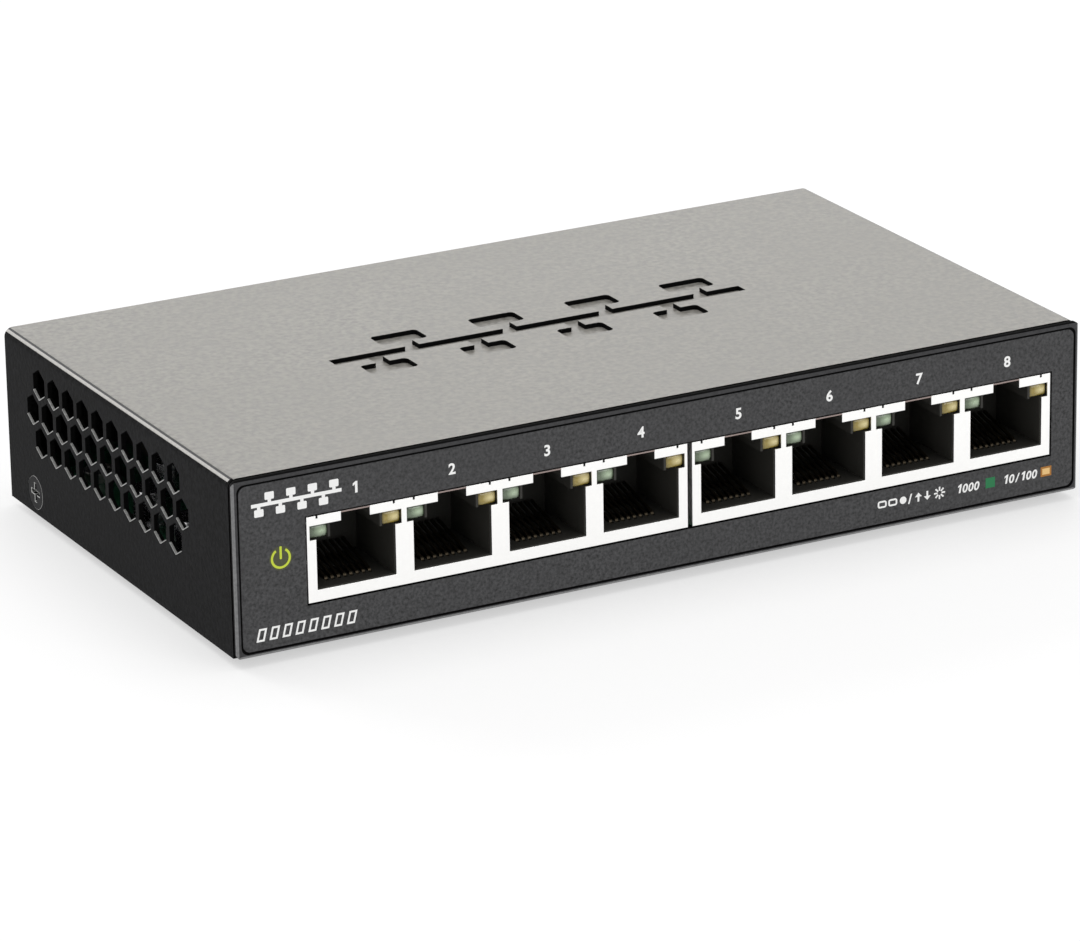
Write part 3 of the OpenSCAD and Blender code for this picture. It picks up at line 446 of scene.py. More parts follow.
# Runs a tree on a set of points and keeps its result as a plain mesh
def growOnSites(name, tree, sites, values):
    mesh = bpy.data.meshes.new(name + "Sites")
    mesh.from_pydata([tuple(site) for site in sites], [], [])
    holder = bpy.data.objects.new(name + "Sites", mesh)
    bpy.context.scene.collection.objects.link(holder)
    modifier = holder.modifiers.new("grow", "NODES")
    modifier.node_group = tree
    for item in tree.interface.items_tree:
        if item.in_out == "INPUT" and item.name in values:
            modifier[item.identifier] = values[item.name]
    bpy.context.view_layer.update()
    made = bpy.data.meshes.new_from_object(holder.evaluated_get(bpy.context.evaluated_depsgraph_get()))
    made.name = name
    bpy.data.objects.remove(holder)
    piece = bpy.data.objects.new(name, made)
    bpy.context.scene.collection.objects.link(piece)
    return piece


# One made shape, copied onto every site
def copiesTree():
    tree, entry = newTree("copiesOnSites", [("Shape", "Object"), ("Finish", "Material")])
    shape = addNode(tree, "GeometryNodeObjectInfo", {"Object": entry["Shape"]})
    copies = addNode(tree, "GeometryNodeInstanceOnPoints",
                     {"Points": entry["Geometry"], "Instance": shape.outputs["Geometry"]})
    return closeTree(tree, copies.outputs[0], entry["Finish"])


# A flat strip bent along a path with round bends, copied onto every site
def stripTree():
    tree, entry = newTree("bentStrips", [("Path", "Object"), ("Width", "Float"), ("Thickness", "Float"),
                                         ("Bend", "Float"), ("Finish", "Material")])
    path = addNode(tree, "GeometryNodeObjectInfo", {"Object": entry["Path"]})
    bent = addNode(tree, "GeometryNodeFilletCurve",
                   {"Curve": path.outputs["Geometry"], "Radius": entry["Bend"], "Count": 3}, mode="POLY")
    profile = addNode(tree, "GeometryNodeCurvePrimitiveQuadrilateral",
                      {"Width": entry["Width"], "Height": entry["Thickness"]})
    strip = addNode(tree, "GeometryNodeCurveToMesh",
                    {"Curve": bent.outputs[0], "Profile Curve": profile.outputs[0], "Fill Caps": True})
    copies = addNode(tree, "GeometryNodeInstanceOnPoints",
                     {"Points": entry["Geometry"], "Instance": strip.outputs[0]})
    return closeTree(tree, copies.outputs[0], entry["Finish"])


# A base plate with upright fins in a row, on the site at the middle of its underside
def finsTree():
    tree, entry = newTree("finnedSink", [("Width", "Float"), ("Depth", "Float"), ("Base", "Float"),
                                         ("Height", "Float"), ("Fins", "Int"), ("Fin", "Float"),
                                         ("Finish", "Material")])

    def math2(operation, a, b):
        return addNode(tree, "ShaderNodeMath", {0: a, 1: b}, operation=operation).outputs[0]

    def vector3(x, y, z):
        return addNode(tree, "ShaderNodeCombineXYZ", {"X": x, "Y": y, "Z": z}).outputs[0]

    def boxOf(x, y, z):
        return addNode(tree, "GeometryNodeMeshCube", {"Size": vector3(x, y, z)}).outputs["Mesh"]

    finHeight = math2("SUBTRACT", entry["Height"], entry["Base"])
    span = math2("SUBTRACT", entry["Width"], entry["Fin"])
    step = math2("DIVIDE", span, math2("SUBTRACT", entry["Fins"], 1.0))
    finMiddle = math2("ADD", entry["Base"], math2("MULTIPLY", finHeight, 0.5))
    start = vector3(math2("MULTIPLY", span, -0.5), 0.0, finMiddle)
    line = addNode(tree, "GeometryNodeMeshLine",
                   {"Count": entry["Fins"], "Start Location": start, "Offset": vector3(step, 0.0, 0.0)})
    fins = addNode(tree, "GeometryNodeInstanceOnPoints",
                   {"Points": line.outputs[0], "Instance": boxOf(entry["Fin"], entry["Depth"], finHeight)})
    plate = addNode(tree, "GeometryNodeTransform",
                    {"Geometry": boxOf(entry["Width"], entry["Depth"], entry["Base"]),
                     "Translation": vector3(0.0, 0.0, math2("MULTIPLY", entry["Base"], 0.5))})
    whole = tree.nodes.new("GeometryNodeJoinGeometry")
    tree.links.new(fins.outputs[0], whole.inputs[0])
    tree.links.new(plate.outputs[0], whole.inputs[0])
    placed = addNode(tree, "GeometryNodeInstanceOnPoints",
                     {"Points": entry["Geometry"], "Instance": whole.outputs[0]})
    return closeTree(tree, placed.outputs[0], entry["Finish"])


copies = copiesTree()
strips = stripTree()
fins = finsTree()
print("node trees made")

# Cover

cover = {
    "edge": 0.08 * mm,         # rounding of the sheet's cut edges
    "markReach": 0.9 * mm,     # how far below the top the mark's faces lie
    "bendRadius": 1.4 * mm,
    "lineStart": 0.42 * mm,    # from the start of the bend to the dark line along it
    "lineWidth": 0.34 * mm,    # dark line between the top's painted sheen and the bend's painted highlight
    "sheenDrop": 0.55 * mm,    # how far the painted sheen and highlight come down the bend
    "highlightStop": 0.6 * mm,     # from the front edge back to the bend's painted highlight, with painted shade in front of it
    "markEdge": 0.2 * mm,      # rounding of the sunk mark's upper edges
    "highlightBand": 0.28 * mm,     # depth of the painted highlight band on the vents' lower edges
    "lipReach": 2.1 * mm, "lipRise": 1.21 * mm,        # a strip with a painted highlight along them, to each side of its tip
    "lipWidth": 0.11 * mm, "lipProud": 0.03 * mm,
    "markHalf": 40 * mm,       # half the width in which the mark's faces lie
}
caseLow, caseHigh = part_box("top_cover")


def cutAcross(mesh, planes):        # splits a mesh's faces along planes, each (point, normal)
    cutter = bmesh.new()
    cutter.from_mesh(mesh)
    for point, normal in planes:
        bmesh.ops.bisect_plane(cutter, geom=cutter.verts[:] + cutter.edges[:] + cutter.faces[:],
                               plane_co=point, plane_no=normal, dist=0.0005 * mm)
    cutter.to_mesh(mesh)
    cutter.free()


# The lowest point of every vent, where its two lower faces meet on the sheet's outside
def ventTips(mesh):
    corners = {-1: set(), 1: set()}
    for face in mesh.polygons:
        if face.normal.z > 0.5 and abs(face.normal.y) > 0.3 and abs(face.normal.x) < 0.2:
            corners[1 if face.normal.y > 0 else -1].update(face.vertices)
    return [mesh.vertices[i].co.copy() for i in corners[-1] & corners[1]
            if abs(mesh.vertices[i].co.x) > caseHigh.x - 0.01 * mm]


# A path through points for the strips to follow
def pathThrough(name, points):
    curve = bpy.data.curves.new(name, "CURVE")
    curve.dimensions = "3D"
    spline = curve.splines.new("POLY")
    spline.points.add(len(points) - 1)
    for point, (x, y, z) in zip(spline.points, points):
        point.co = (x, y, z, 1)
    path = bpy.data.objects.new(name, curve)
    bpy.context.scene.collection.objects.link(path)
    return path


def makeVentLips(tips):
    half = cover["lipWidth"] / 2
    path = pathThrough("lipPath", [(0, side * cover["lipReach"], cover["lipRise"] * abs(side))
                                   for side in (-1, 0, 1)])
    sites = [(tip.x + math.copysign(cover["lipProud"] - half, tip.x), tip.y, tip.z - half * 0.6)
             for tip in tips]
    piece = growOnSites("ventLips", strips, sites, {
        "Path": path, "Width": cover["lipWidth"], "Thickness": cover["lipWidth"], "Bend": 0.1 * mm,
        "Finish": finishes["rubbedEdge"]})
    bpy.data.objects.remove(path)
    settle(piece, "case", "top_paint")
    print("vent lips:", len(tips))


# The upper edges of the sunk mark are pressed, not cut, so they get a rounding of their own
def roundMark(piece):
    mesh = piece.data
    steep = set()
    lowest = caseHigh.z - cover["markReach"]
    for face in mesh.polygons:
        centre = face.center
        if abs(face.normal.z) < 0.3 and abs(centre.x) < cover["markHalf"] and centre.z > lowest:
            steep.update(face.edge_keys)
    weights = mesh.attributes.new("bevel_weight_edge", "FLOAT", "EDGE")
    for edge in mesh.edges:
        high = all(mesh.vertices[i].co.z > caseHigh.z - 0.01 * mm for i in edge.vertices)
        weights.data[edge.index].value = 1.0 if high and edge.key in steep else 0.0
    bevel = piece.modifiers.new("pressedEdges", "BEVEL")
    bevel.width, bevel.segments, bevel.limit_method = cover["markEdge"], 3, "WEIGHT"
    bevel.harden_normals = True


def makeCover():
    piece = weldedCopy("coverSheet", "top_cover", "blackPowder", "topPaint", "rubbedEdge",
                       "shadowPaint", "bendPaint", "rimPowder")
    makeVentLips(ventTips(piece.data))
    lineStart = caseHigh.x - cover["bendRadius"] + cover["lineStart"]
    lineEnd, highlightDepth = lineStart + cover["lineWidth"], caseHigh.x - cover["highlightBand"]
    sheenLow, highlightFront = caseHigh.z - cover["sheenDrop"], caseLow.y + cover["highlightStop"]
    planes = [((side * x, 0, 0), (1, 0, 0)) for side in (-1, 1) for x in (lineStart, lineEnd, highlightDepth)]
    cutAcross(piece.data, planes + [((0, 0, sheenLow), (0, 0, 1)), ((0, highlightFront, 0), (0, 1, 0))])
    for face in piece.data.polygons:
        centre, normal = face.center, face.normal
        reach = abs(centre.x)
        if normal.z > 0.2 and centre.z > sheenLow and (abs(normal.y) < 0.5 or reach < cover["markHalf"]):
            # the top gets its painted sheen, the bend a painted highlight with a dimmer painted line between,
            # and painted shade near the front edge
            face.material_index = 1 if reach < lineStart else 5 if reach < lineEnd else 4
            if reach > lineStart and centre.y < highlightFront:
                face.material_index = 3
        elif normal.z > 0.9 and centre.z > caseHigh.z - cover["markReach"]:
            face.material_index = 1        # floor of the sunk mark, with the top's painted sheen
        elif centre.y < caseLow.y + 0.1 * mm:
            face.material_index = 3        # painted shade on the cut edge over the groove
        elif abs(normal.x) < 0.2 and centre.z < caseHigh.z - 3 * mm and abs(centre.y) < 36 * mm:
            face.material_index = 2 if normal.z > 0.5 and reach > highlightDepth else 3     # walls of the vents in painted shade, with a painted highlight band along their lower edges
        elif abs(normal.z) < 0.4 and centre.z > caseHigh.z - cover["markReach"] and reach < cover["markHalf"]:
            face.material_index = 3        # painted shade on the walls of the sunk mark
    smoothTo(piece)
    roundMark(piece)
    breakEdges(piece, cover["edge"])
    return settle(piece, "case", "top_paint", "top_cover")


makeCover()
print("cover made")

# Chassis and overlay

chassis = {
    "edge": 0.12 * mm, "overlayEdge": 0.05 * mm,
    "overlayLap": 0.42 * mm,       # how far the overlay covers the lower edge of the sockets' frames
}
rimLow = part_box("chassis_base")[0]
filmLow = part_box("front_overlay")[0]


def makeChassis():
    piece = weldedCopy("chassisPan", "chassis_base", "blackPowder", "rimPowder", "rimPolished",
                       "shadowPaint")
    rimBack = rimLow.y + 1.0 * mm
    for face in piece.data.polygons:
        normal = face.normal
        if face.center.y > rimBack:
            continue
        if normal.z > 0.7 or face.center.y > rimLow.y + 0.1 * mm and normal.y < -0.9:
            face.material_index = 3        # painted shade over the groove, and on the sunk panel round the film
        elif normal.y < -0.15:
            # the rim's front roundings: dim painted sheen facing forward, a brighter painted highlight at the
            # sides and below
            face.material_index = 2 if abs(normal.x) > 0.5 or normal.z < -0.25 else 1
    breakEdges(piece, chassis["edge"])
    settle(piece, "case", "black_powder", "chassis_base")
    film = weldedCopy("overlayFilm", "front_overlay", "overlayFilm")
    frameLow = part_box("jack_shield_left")[0]
    for vertex in film.data.vertices:       # the lower edge of the sockets' window
        if abs(vertex.co.z - frameLow.z) < 0.5 * mm:
            vertex.co.z = frameLow.z + chassis["overlayLap"]
    breakEdges(film, chassis["overlayEdge"])
    settle(film, "case", "overlay_film", "front_overlay")


makeChassis()
print("chassis and overlay made")

# Prints on the overlay

prints = {
    "thickness": 0.02 * mm,
    "digitHeight": 1.8 * mm,
    "digitAbove": 24.95 * mm,          # height of the port numbers' middle
    "glyph": (-62.2 * mm, 24.95 * mm), "glyphWidth": 14.6 * mm, "glyphLine": 0.55 * mm,
    "glyphPort": (1.5 * mm, 1.15 * mm), "glyphStem": 0.38 * mm, "glyphRound": 0.18 * mm,
    "power": (-65.0 * mm, 16.2 * mm), "powerRing": 1.62 * mm, "powerLine": 0.36 * mm,
    "series": (-61.1 * mm, 4.85 * mm), "seriesPitch": 2.1 * mm, "seriesBar": (1.3 * mm, 2.0 * mm),
    "seriesLine": 0.3 * mm, "seriesSlant": 0.25,
    # the legend, from left to right along one line
    "legendLine": 5.6 * mm, "legendHeight": 1.45 * mm, "legendSlant": 0.18,
    "loopsAt": (37.0 * mm, 38.9 * mm), "loopWidth": 1.6 * mm, "loopLine": 0.28 * mm,
    "dotAt": 40.75 * mm, "dotRadius": 0.6 * mm, "slashAt": 42.0 * mm, "slashWidth": 0.26 * mm,
    "arrowsAt": (43.5 * mm, 45.1 * mm), "arrowStem": 0.32 * mm, "arrowHead": 1.24 * mm,
    "burstAt": 47.3 * mm, "burstInner": 0.36 * mm, "burstOuter": 1.0 * mm, "burstRay": 0.26 * mm,
    "fastAt": 52.5 * mm, "greenAt": 56.5 * mm, "greenMark": (1.7 * mm, 1.65 * mm),
    "slowAt": 62.0 * mm, "orangeAt": 66.7 * mm, "orangeMark": (1.95 * mm, 1.6 * mm), "orangeLine": 0.3 * mm,
}
labelLow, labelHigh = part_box("rating_label")


def onOverlay(u, v, height):
    return Vector((u, filmLow.y - height, v))


def onLabel(u, v, height):
    return Vector((u, v, labelLow.z - height))


# A line with eight ports on branches, as on the cover
def addGlyph(builder, thick):
    u, v = prints["glyph"]
    line, stem, (portWidth, portHeight) = prints["glyphLine"], prints["glyphStem"], prints["glyphPort"]
    addPrism(builder, barOutline(u, v, prints["glyphWidth"], line), onOverlay, thick)
    for i in range(8):
        side = 1 if i % 2 else -1
        at = u + (i - 3.5) * prints["glyphWidth"] / 8.4
        branch = v + side * (line + stem) / 2
        square = v + side * (line / 2 + stem + portHeight / 2)
        addPrism(builder, barOutline(at, branch, line, stem - 0.02 * mm), onOverlay, thick)
        addPrism(builder, roundOutline(at, square, portWidth, portHeight, prints["glyphRound"]),
                 onOverlay, thick)


# Linked and busy signs, then the two speeds, each with its colour
def addLegend(white, green, orange, amber, thick):
    low, tall, slant = prints["legendLine"], prints["legendHeight"], prints["legendSlant"]
    wide, high, line = prints["loopWidth"], tall * 0.8, 2 * prints["loopLine"]
    for u in prints["loopsAt"]:
        addRing(white, roundOutline(u, low, wide, high, 0.4 * mm),
                roundOutline(u, low, wide - line, high - line, 0.12 * mm), onOverlay, thick)
    addPrism(white, discOutline(prints["dotAt"], low, prints["dotRadius"]), onOverlay, thick)
    addPrism(white, barOutline(prints["slashAt"], low, prints["slashWidth"], tall * 1.1, 0.3),
             onOverlay, thick)
    stem, head = prints["arrowStem"] / 2, prints["arrowHead"] / 2
    for u, up in zip(prints["arrowsAt"], (1, -1)):
        tail, neck, tip = (low + up * share * tall for share in (-0.5, 0.05, 0.5))
        addPrism(white, [(u - stem, tail), (u + stem, tail), (u + stem, neck), (u + head, neck),
                         (u, tip), (u - head, neck), (u - stem, neck)], onOverlay, thick)
    inner, outer, half = prints["burstInner"], prints["burstOuter"], prints["burstRay"] / 2
    for k in range(8):
        alongU, alongV = math.cos(math.tau * k / 8), math.sin(math.tau * k / 8)
        addPrism(white, [(prints["burstAt"] + alongU * r - alongV * s, low + alongV * r + alongU * s)
                         for r, s in ((inner, -half), (outer, -half), (outer, half), (inner, half))],
                 onOverlay, thick)
    addDigits(white, "1000", prints["fastAt"], low, tall, onOverlay, thick, slant)
    addPrism(green, barOutline(prints["greenAt"], low, *prints["greenMark"]), onOverlay, thick)
    addDigits(white, "10/100", prints["slowAt"], low, tall, onOverlay, thick, slant)
    at, (wide, high), line = prints["orangeAt"], prints["orangeMark"], prints["orangeLine"]
    addRing(orange, barOutline(at, low, wide, high),
            barOutline(at, low, wide - 2 * line, high - 2 * line), onOverlay, thick)
    addPrism(amber, barOutline(at, low, wide - 2.05 * line, high - 2.05 * line), onOverlay, thick * 0.9)


# The rating label's blank form: a frame, lines in place of words, and a row of bars
def addRating(builder, thick):
    middle, size = (labelLow + labelHigh) / 2, labelHigh - labelLow
    wide, deep = size.x - 3 * mm, size.y - 3 * mm
    addRing(builder, roundOutline(middle.x, middle.y, wide, deep, 1.0 * mm),
            roundOutline(middle.x, middle.y, wide - 0.5 * mm, deep - 0.5 * mm, 0.8 * mm), onLabel, thick)
    for row, share in enumerate((0.42, 0.3, 0.36, 0.24, 0.33)):
        u, v = middle.x - wide * (0.46 - share / 2), middle.y + deep * (0.34 - 0.17 * row)
        addPrism(builder, barOutline(u, v, wide * share, 0.8 * mm), onLabel, thick)
    at = middle.x + wide * 0.08
    for k in range(26):
        bar = (0.22 + 0.2 * (k * k % 3)) * mm
        addPrism(builder, barOutline(at + bar / 2, middle.y + deep * 0.16, bar, deep * 0.4), onLabel, thick)
        at += bar + 0.36 * mm


def makePrints():
    thick = prints["thickness"]
    white, lime, olive, green, orange, amber, grey = (bmesh.new() for k in range(7))
    for i, port in enumerate(ports):
        addDigits(white, str(i + 1), port.x, prints["digitAbove"], prints["digitHeight"], onOverlay, thick)
    addGlyph(white, thick)
    for i in range(8):      # eight open slanted marks in place of a series name
        u, v = prints["series"][0] + (i - 3.5) * prints["seriesPitch"], prints["series"][1]
        width, height = prints["seriesBar"]
        line, slant = prints["seriesLine"], prints["seriesSlant"]
        addRing(white, barOutline(u, v, width, height, slant),
                barOutline(u, v, width - 2 * line, height - 2 * line, slant), onOverlay, thick)
    u, v = prints["power"]
    ring, line = prints["powerRing"], prints["powerLine"]
    addPrism(olive, discOutline(u, v, ring + 0.25 * mm, 40), onOverlay, thick * 0.4)
    addPrism(lime, arcOutline(u, v, ring - line, ring, 122, 418, 44), onOverlay, thick)
    addPrism(lime, roundOutline(u, v + ring * 0.52, line, ring * 1.25, line * 0.45), onOverlay, thick)
    addLegend(white, green, orange, amber, thick)
    addRating(grey, thick)
    for colour, builder in (("white", white), ("lime", lime), ("olive", olive), ("green", green),
                            ("orange", orange), ("amber", amber)):
        settle(closePrint(colour + "Print", builder, colour + "Ink"), "case", "overlay_film")
    settle(closePrint("ratingPrint", grey, "greyInk"), "case", "label_film")


makePrints()
print("prints made")

# Sockets

sockets = {
    "shieldEdge": 0.05 * mm, "housingEdge": 0.07 * mm, "notchWidth": 4.7 * mm,
    "contactWidth": 0.46 * mm, "contactThickness": 0.28 * mm, "contactBend": 0.32 * mm,
    "contactPitch": 1.02 * mm,
    "contactRun": 3.65 * mm,       # its level under the cavity
    "contactLift": 4.8 * mm,       # level at which its sprung end starts
    "contactReach": 9.0 * mm,      # how far the sprung end reaches back
    "contactTails": (2.85 * mm, 0.15 * mm),        # from the rear of the contacts to each row of tails
    "lensWidth": 3.2 * mm, "lensHeight": 2.1 * mm, "lensLength": 5.7 * mm, "lensRound": 0.5 * mm,
    "lensOffset": 5.95 * mm, "lensInset": 0.35 * mm, "lensCrown": 0.16 * mm, "lensBack": 0.1 * mm,
}


def makeSocketBodies():
    for side in ("left", "right"):
        shield = weldedCopy("shield." + side, "jack_shield_" + side, "tinnedSteel", "dimTin")
        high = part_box("jack_shield_" + side)[1]
        cutAcross(shield.data, [((port.x + edge * sockets["notchWidth"] / 2, 0, 0), (1, 0, 0))
                                for port in ports for edge in (-1, 1)])
        for face in shield.data.polygons:       # the strip over each latch notch gets painted shade
            if face.normal.y < -0.9 and face.center.z > high.z - 0.4 * mm:
                if any(abs(face.center.x - port.x) < sockets["notchWidth"] / 2 for port in ports):
                    face.material_index = 1
        breakEdges(shield, sockets["shieldEdge"])
        settle(shield, "case", "tinned_shield", "jack_shield_" + side)
        housing = weldedCopy("housing." + side, "jack_housing_" + side, "blackPlastic")
        breakEdges(housing, sockets["housingEdge"])
        settle(housing, "case", "black_plastic", "jack_housing_" + side)


def contactPath(tail, blockLow, blockHigh):
    run, lift = blockLow.z + sockets["contactRun"], blockLow.z + sockets["contactLift"]
    front, back = blockLow.y + 0.15 * mm, blockLow.y + sockets["contactReach"]
    points = [(tail, blockLow.z), (tail, run), (front, run), (front, lift), (back, blockHigh.z - 0.16 * mm)]
    return pathThrough("contactPath", [(0, y, z) for y, z in points])


def makeContacts():
    for side, group in (("left", ports[:4]), ("right", ports[4:])):
        blockLow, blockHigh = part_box("jack_contacts_" + side)
        rows = []
        for row, inset in enumerate(sockets["contactTails"]):
            path = contactPath(blockHigh.y - inset, blockLow, blockHigh)
            sites = [(port.x + (k - 3.5) * sockets["contactPitch"], 0, 0)
                     for port in group for k in range(row, 8, 2)]
            rows.append(growOnSites("contacts." + side + str(row), strips, sites, {
                "Path": path, "Width": sockets["contactWidth"], "Thickness": sockets["contactThickness"],
                "Bend": sockets["contactBend"], "Finish": finishes["goldPlate"]}))
            bpy.data.objects.remove(path)
        joined = bmesh.new()
        for row in rows:
            joined.from_mesh(row.data)
            bpy.data.objects.remove(row)
        mesh = bpy.data.meshes.new("contactSprings." + side)
        joined.to_mesh(mesh)
        joined.free()
        piece = newPiece("contactSprings." + side, mesh, "goldPlate")
        smoothTo(piece, 40)
        settle(piece, "case", "gold_contact", "jack_contacts_" + side)


def lensShape():
    builder = bmesh.new()
    bmesh.ops.create_cube(builder, size=1.0)
    size = (sockets["lensWidth"], sockets["lensLength"], sockets["lensHeight"])
    bmesh.ops.scale(builder, vec=size, verts=builder.verts)
    bmesh.ops.bevel(builder, geom=builder.edges[:], offset=sockets["lensRound"], segments=3,
                    affect="EDGES", profile=0.5)
    front = [f for f in builder.faces if f.normal.y < -0.99]
    bmesh.ops.inset_region(builder, faces=front, thickness=sockets["lensInset"])
    for vertex in {v for f in front for v in f.verts}:
        vertex.co.y -= sockets["lensCrown"]
    uv = builder.loops.layers.uv.new("lensMap")
    for face in builder.faces:
        for loop in face.loops:
            loop[uv].uv = (loop.vert.co.x / size[0] + 0.5, loop.vert.co.z / size[2] + 0.5)
    mesh = bpy.data.meshes.new("lensShape")
    builder.to_mesh(mesh)
    builder.free()
    shape = bpy.data.objects.new("lensShape", mesh)
    bpy.context.scene.collection.objects.link(shape)
    return shape


def makeLenses():
    for side, tint, finishName in ((-1, "green", "greenLens"), (1, "yellow", "yellowLens")):
        low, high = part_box("link_leds_" + tint)
        middle = (low + high) / 2
        shape = lensShape()
        sites = [(port.x + side * sockets["lensOffset"], middle.y + sockets["lensBack"], middle.z)
                 for port in ports]
        piece = growOnSites("lenses." + tint, copies, sites, {"Shape": shape, "Finish": finishes[finishName]})
        bpy.data.objects.remove(shape)
        smoothTo(piece, 50)
        settle(piece, "case", tint + "_lens", "link_leds_" + tint)


makeSocketBodies()
makeContacts()
makeLenses()
print("sockets made")

# Small outer pieces

outerPieces = {     # piece: node, finish, slot, edge rounding
    "feet": ("rubber_feet", "footRubber", "foot_rubber", 0.25 * mm),
    "sideScrews": ("cover_screws", "blackScrew", "black_screw", 0.1 * mm),
    "inletBody": ("dc_jack_housing", "blackPlastic", "black_plastic", 0.12 * mm),
    "inletPin": ("dc_center_pin", "tinnedBrass", "tinned_brass", 0.08 * mm),
    "inletSpring": ("dc_spring_contact", "tinnedBrass", "tinned_brass", 0.05 * mm),
    "ratingFilm": ("rating_label", "labelFilm", "label_film", 0.03 * mm),
    "switchBase": ("reset_switch_base", "blackPlastic", "black_plastic", 0.1 * mm),
    "switchFrame": ("reset_switch_frame", "nickelSteel", "nickel_steel", 0.05 * mm),
    "resetPlunger": ("reset_button", "blackPlastic", "black_plastic", 0.15 * mm),
    "boardScrews": ("board_screws", "nickelSteel", "nickel_steel", 0.12 * mm),
    "standoffPosts": ("standoffs", "nickelSteel", "nickel_steel", 0.1 * mm),
    "isolationBlocks": ("port_transformers", "chipResin", "chip_resin", 0.12 * mm),
    "canCapacitors": ("electrolytic_capacitors", "canAluminium", "can_aluminium", 0.2 * mm),
    "crystalCan": ("crystal", "crystalCan", "crystal_can", 0.2 * mm),
}
for pieceName, (nodeName, finishName, slotName, edge) in outerPieces.items():
    body = next(b for b, members in bodies.items() if nodeName in members)
    litEdges = pieceName == "sideScrews"        # their edges get a painted highlight
    piece = weldedCopy(pieceName, nodeName, finishName, *(["rubbedEdge"] if litEdges else []))
    breakEdges(piece, edge, finishIndex=1 if litEdges else -1)
    settle(piece, body, slotName, nodeName)

# Board and parts on it

sinkSizes = {"fins": 9, "fin": 1.1 * mm, "base": 2.0 * mm, "edge": 0.15 * mm}


def makeHeatSink():
    low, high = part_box("heat_sink")
    site = ((low.x + high.x) / 2, (low.y + high.y) / 2, low.z)
    piece = growOnSites("heatSink", fins, [site], {
        "Width": high.x - low.x, "Depth": high.y - low.y, "Height": high.z - low.z,
        "Base": sinkSizes["base"], "Fins": sinkSizes["fins"], "Fin": sinkSizes["fin"],
        "Finish": finishes["sinkAluminium"]})
    breakEdges(piece, sinkSizes["edge"])
    settle(piece, "case", "heat_sink_aluminium", "heat_sink")


makeHeatSink()


# The snap dome flattens as the plunger comes down on it; here it only gets a smooth copy with a mesh of its
# own
def makeResetDome():
    piece = weldedCopy("resetDome", "reset_dome", "nickelSteel")
    smoothTo(piece)
    settle(piece, "case", "nickel_steel", "reset_dome")
    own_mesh(piece)


makeResetDome()

keptNodes = {       # nodes that stay as they are, with the finish that each takes
    "circuit_board": "solderMask", "led_leads": "tinnedLead", "switch_chip": "chipResin",
    "thermal_pad": "thermalRubber", "memory_chip": "chipResin", "flash_chip": "chipResin",
    "power_inductors": "ferrite", "regulator_chips": "chipResin", "ceramic_capacitors": "ceramicChip",
    "chip_resistors": "resistorChip", "input_diode": "chipResin", "power_led": "ledResin",
    "power_light_pipe": "clearAcrylic",
}
for nodeName, finishName in keptNodes.items():
    nodes[nodeName].data.materials.clear()
    nodes[nodeName].data.materials.append(finishes[finishName])
print("board and small pieces made")

# Floor, lights and camera

studio = {
    "floorSize": 3.0, "floorColour": (0.46, 0.46, 0.46), "floorGlow": 0.54,
    "worldColour": (1.0, 1.0, 1.0), "worldStrength": 0.58,
    "camera": {"place": (-416.64 * mm, -790.40 * mm, 324.72 * mm), "azimuth": -27.767, "elevation": 19.678,
               "roll": -0.959, "lens": 202.32, "sensor": 36.0},
    # name: place, aimed at, width, height, watts
    "lights": {
        "overhead": ((0.0, 0.1, 1.1), (0.0, 0.0, 0.0), 1.2, 1.0, 5.0),
        "frontFill": ((0.5, -1.3, 0.55), (0.0, 0.0, 0.02), 0.9, 0.6, 4.5),
        "leftStrip": ((-0.5, 1.15, 0.62), (-0.07, 0.0, 0.02), 0.5, 0.3, 4.0),
        "cornerStrip": ((-1.0, -0.6, 0.16), (-0.07, -0.04, 0.015), 0.25, 0.25, 0.8),
        "backSheet": ((0.5, 1.3, 0.55), (0.0, 0.0, 0.03), 1.2, 0.5, 3.2),
    },
}


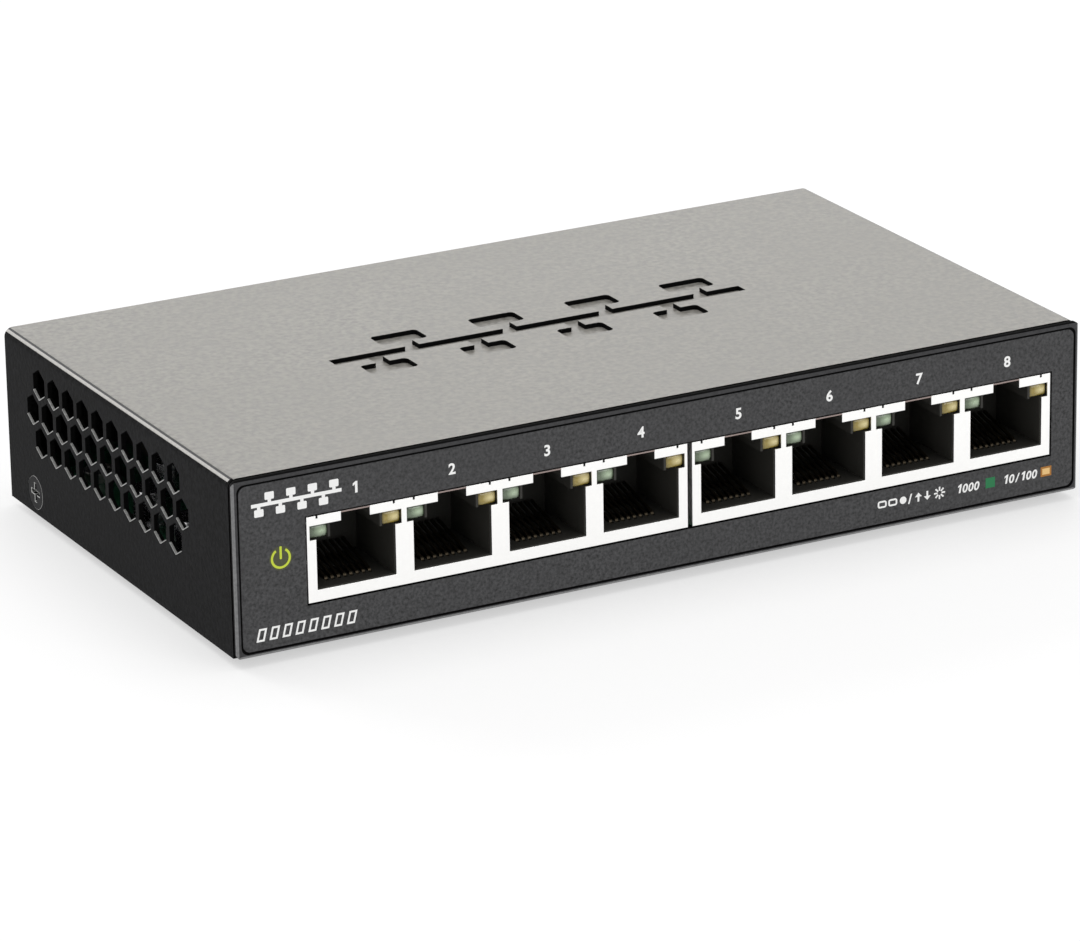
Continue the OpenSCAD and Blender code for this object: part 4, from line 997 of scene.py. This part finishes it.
def makeFloor():
    builder = bmesh.new()
    bmesh.ops.create_circle(builder, cap_ends=True, segments=96, radius=studio["floorSize"])
    mesh = bpy.data.meshes.new("floor")
    builder.to_mesh(mesh)
    builder.free()
    floor = bpy.data.objects.new("floor", mesh)
    bpy.context.scene.collection.objects.link(floor)
    paint, tree, shader = newFinish("floorPaint")
    mottle = noiseOf(tree, objectPlace(tree), 0.05)
    tree.links.new(blendOf(tree, spread(tree, mottle, 0, 0.1), shade(studio["floorColour"], 1.0),
                           shade(studio["floorColour"], 0.97)), shader.inputs["Base Color"])
    shader.inputs["Roughness"].default_value = 0.85
    shader.inputs["Specular IOR Level"].default_value = 0.1
    shader.inputs["Emission Color"].default_value = (1, 1, 1, 1)
    shader.inputs["Emission Strength"].default_value = studio["floorGlow"]
    mesh.materials.append(paint)


def makeLights():
    for name, (place, aim, width, height, watts) in studio["lights"].items():
        lamp = bpy.data.lights.new(name, "AREA")
        lamp.shape = "RECTANGLE"
        lamp.size, lamp.size_y, lamp.energy = width, height, watts
        holder = bpy.data.objects.new(name, lamp)
        holder.location = place
        holder.rotation_euler = (Vector(aim) - Vector(place)).to_track_quat("-Z", "Y").to_euler()
        bpy.context.scene.collection.objects.link(holder)
    world = bpy.data.worlds.new("studioWorld")
    world.use_nodes = True
    background = world.node_tree.nodes["Background"]
    background.inputs["Color"].default_value = studio["worldColour"] + (1.0,)
    background.inputs["Strength"].default_value = studio["worldStrength"]
    bpy.context.scene.world = world


def makeCamera():
    values = studio["camera"]
    azimuth, elevation, roll = (math.radians(values[k]) for k in ("azimuth", "elevation", "roll"))
    back = Vector((math.sin(azimuth) * math.cos(elevation), -math.cos(azimuth) * math.cos(elevation),
                   math.sin(elevation)))
    level = Vector((0, 0, 1)).cross(back).normalized()
    right = level * math.cos(roll) + back.cross(level) * math.sin(roll)
    up = back.cross(right)
    camera = bpy.data.cameras.new("camera")
    camera.lens, camera.sensor_width, camera.sensor_fit = values["lens"], values["sensor"], "HORIZONTAL"
    camera.clip_start, camera.clip_end = 0.01, 20.0
    holder = bpy.data.objects.new("camera", camera)
    turn = Matrix((right, up, back)).transposed().to_4x4()
    holder.matrix_world = Matrix.Translation(values["place"]) @ turn
    bpy.context.scene.collection.objects.link(holder)
    bpy.context.scene.camera = holder


makeFloor()
makeLights()
makeCamera()
bpy.context.scene.view_settings.view_transform = "Standard"
print("floor, lights and camera made")
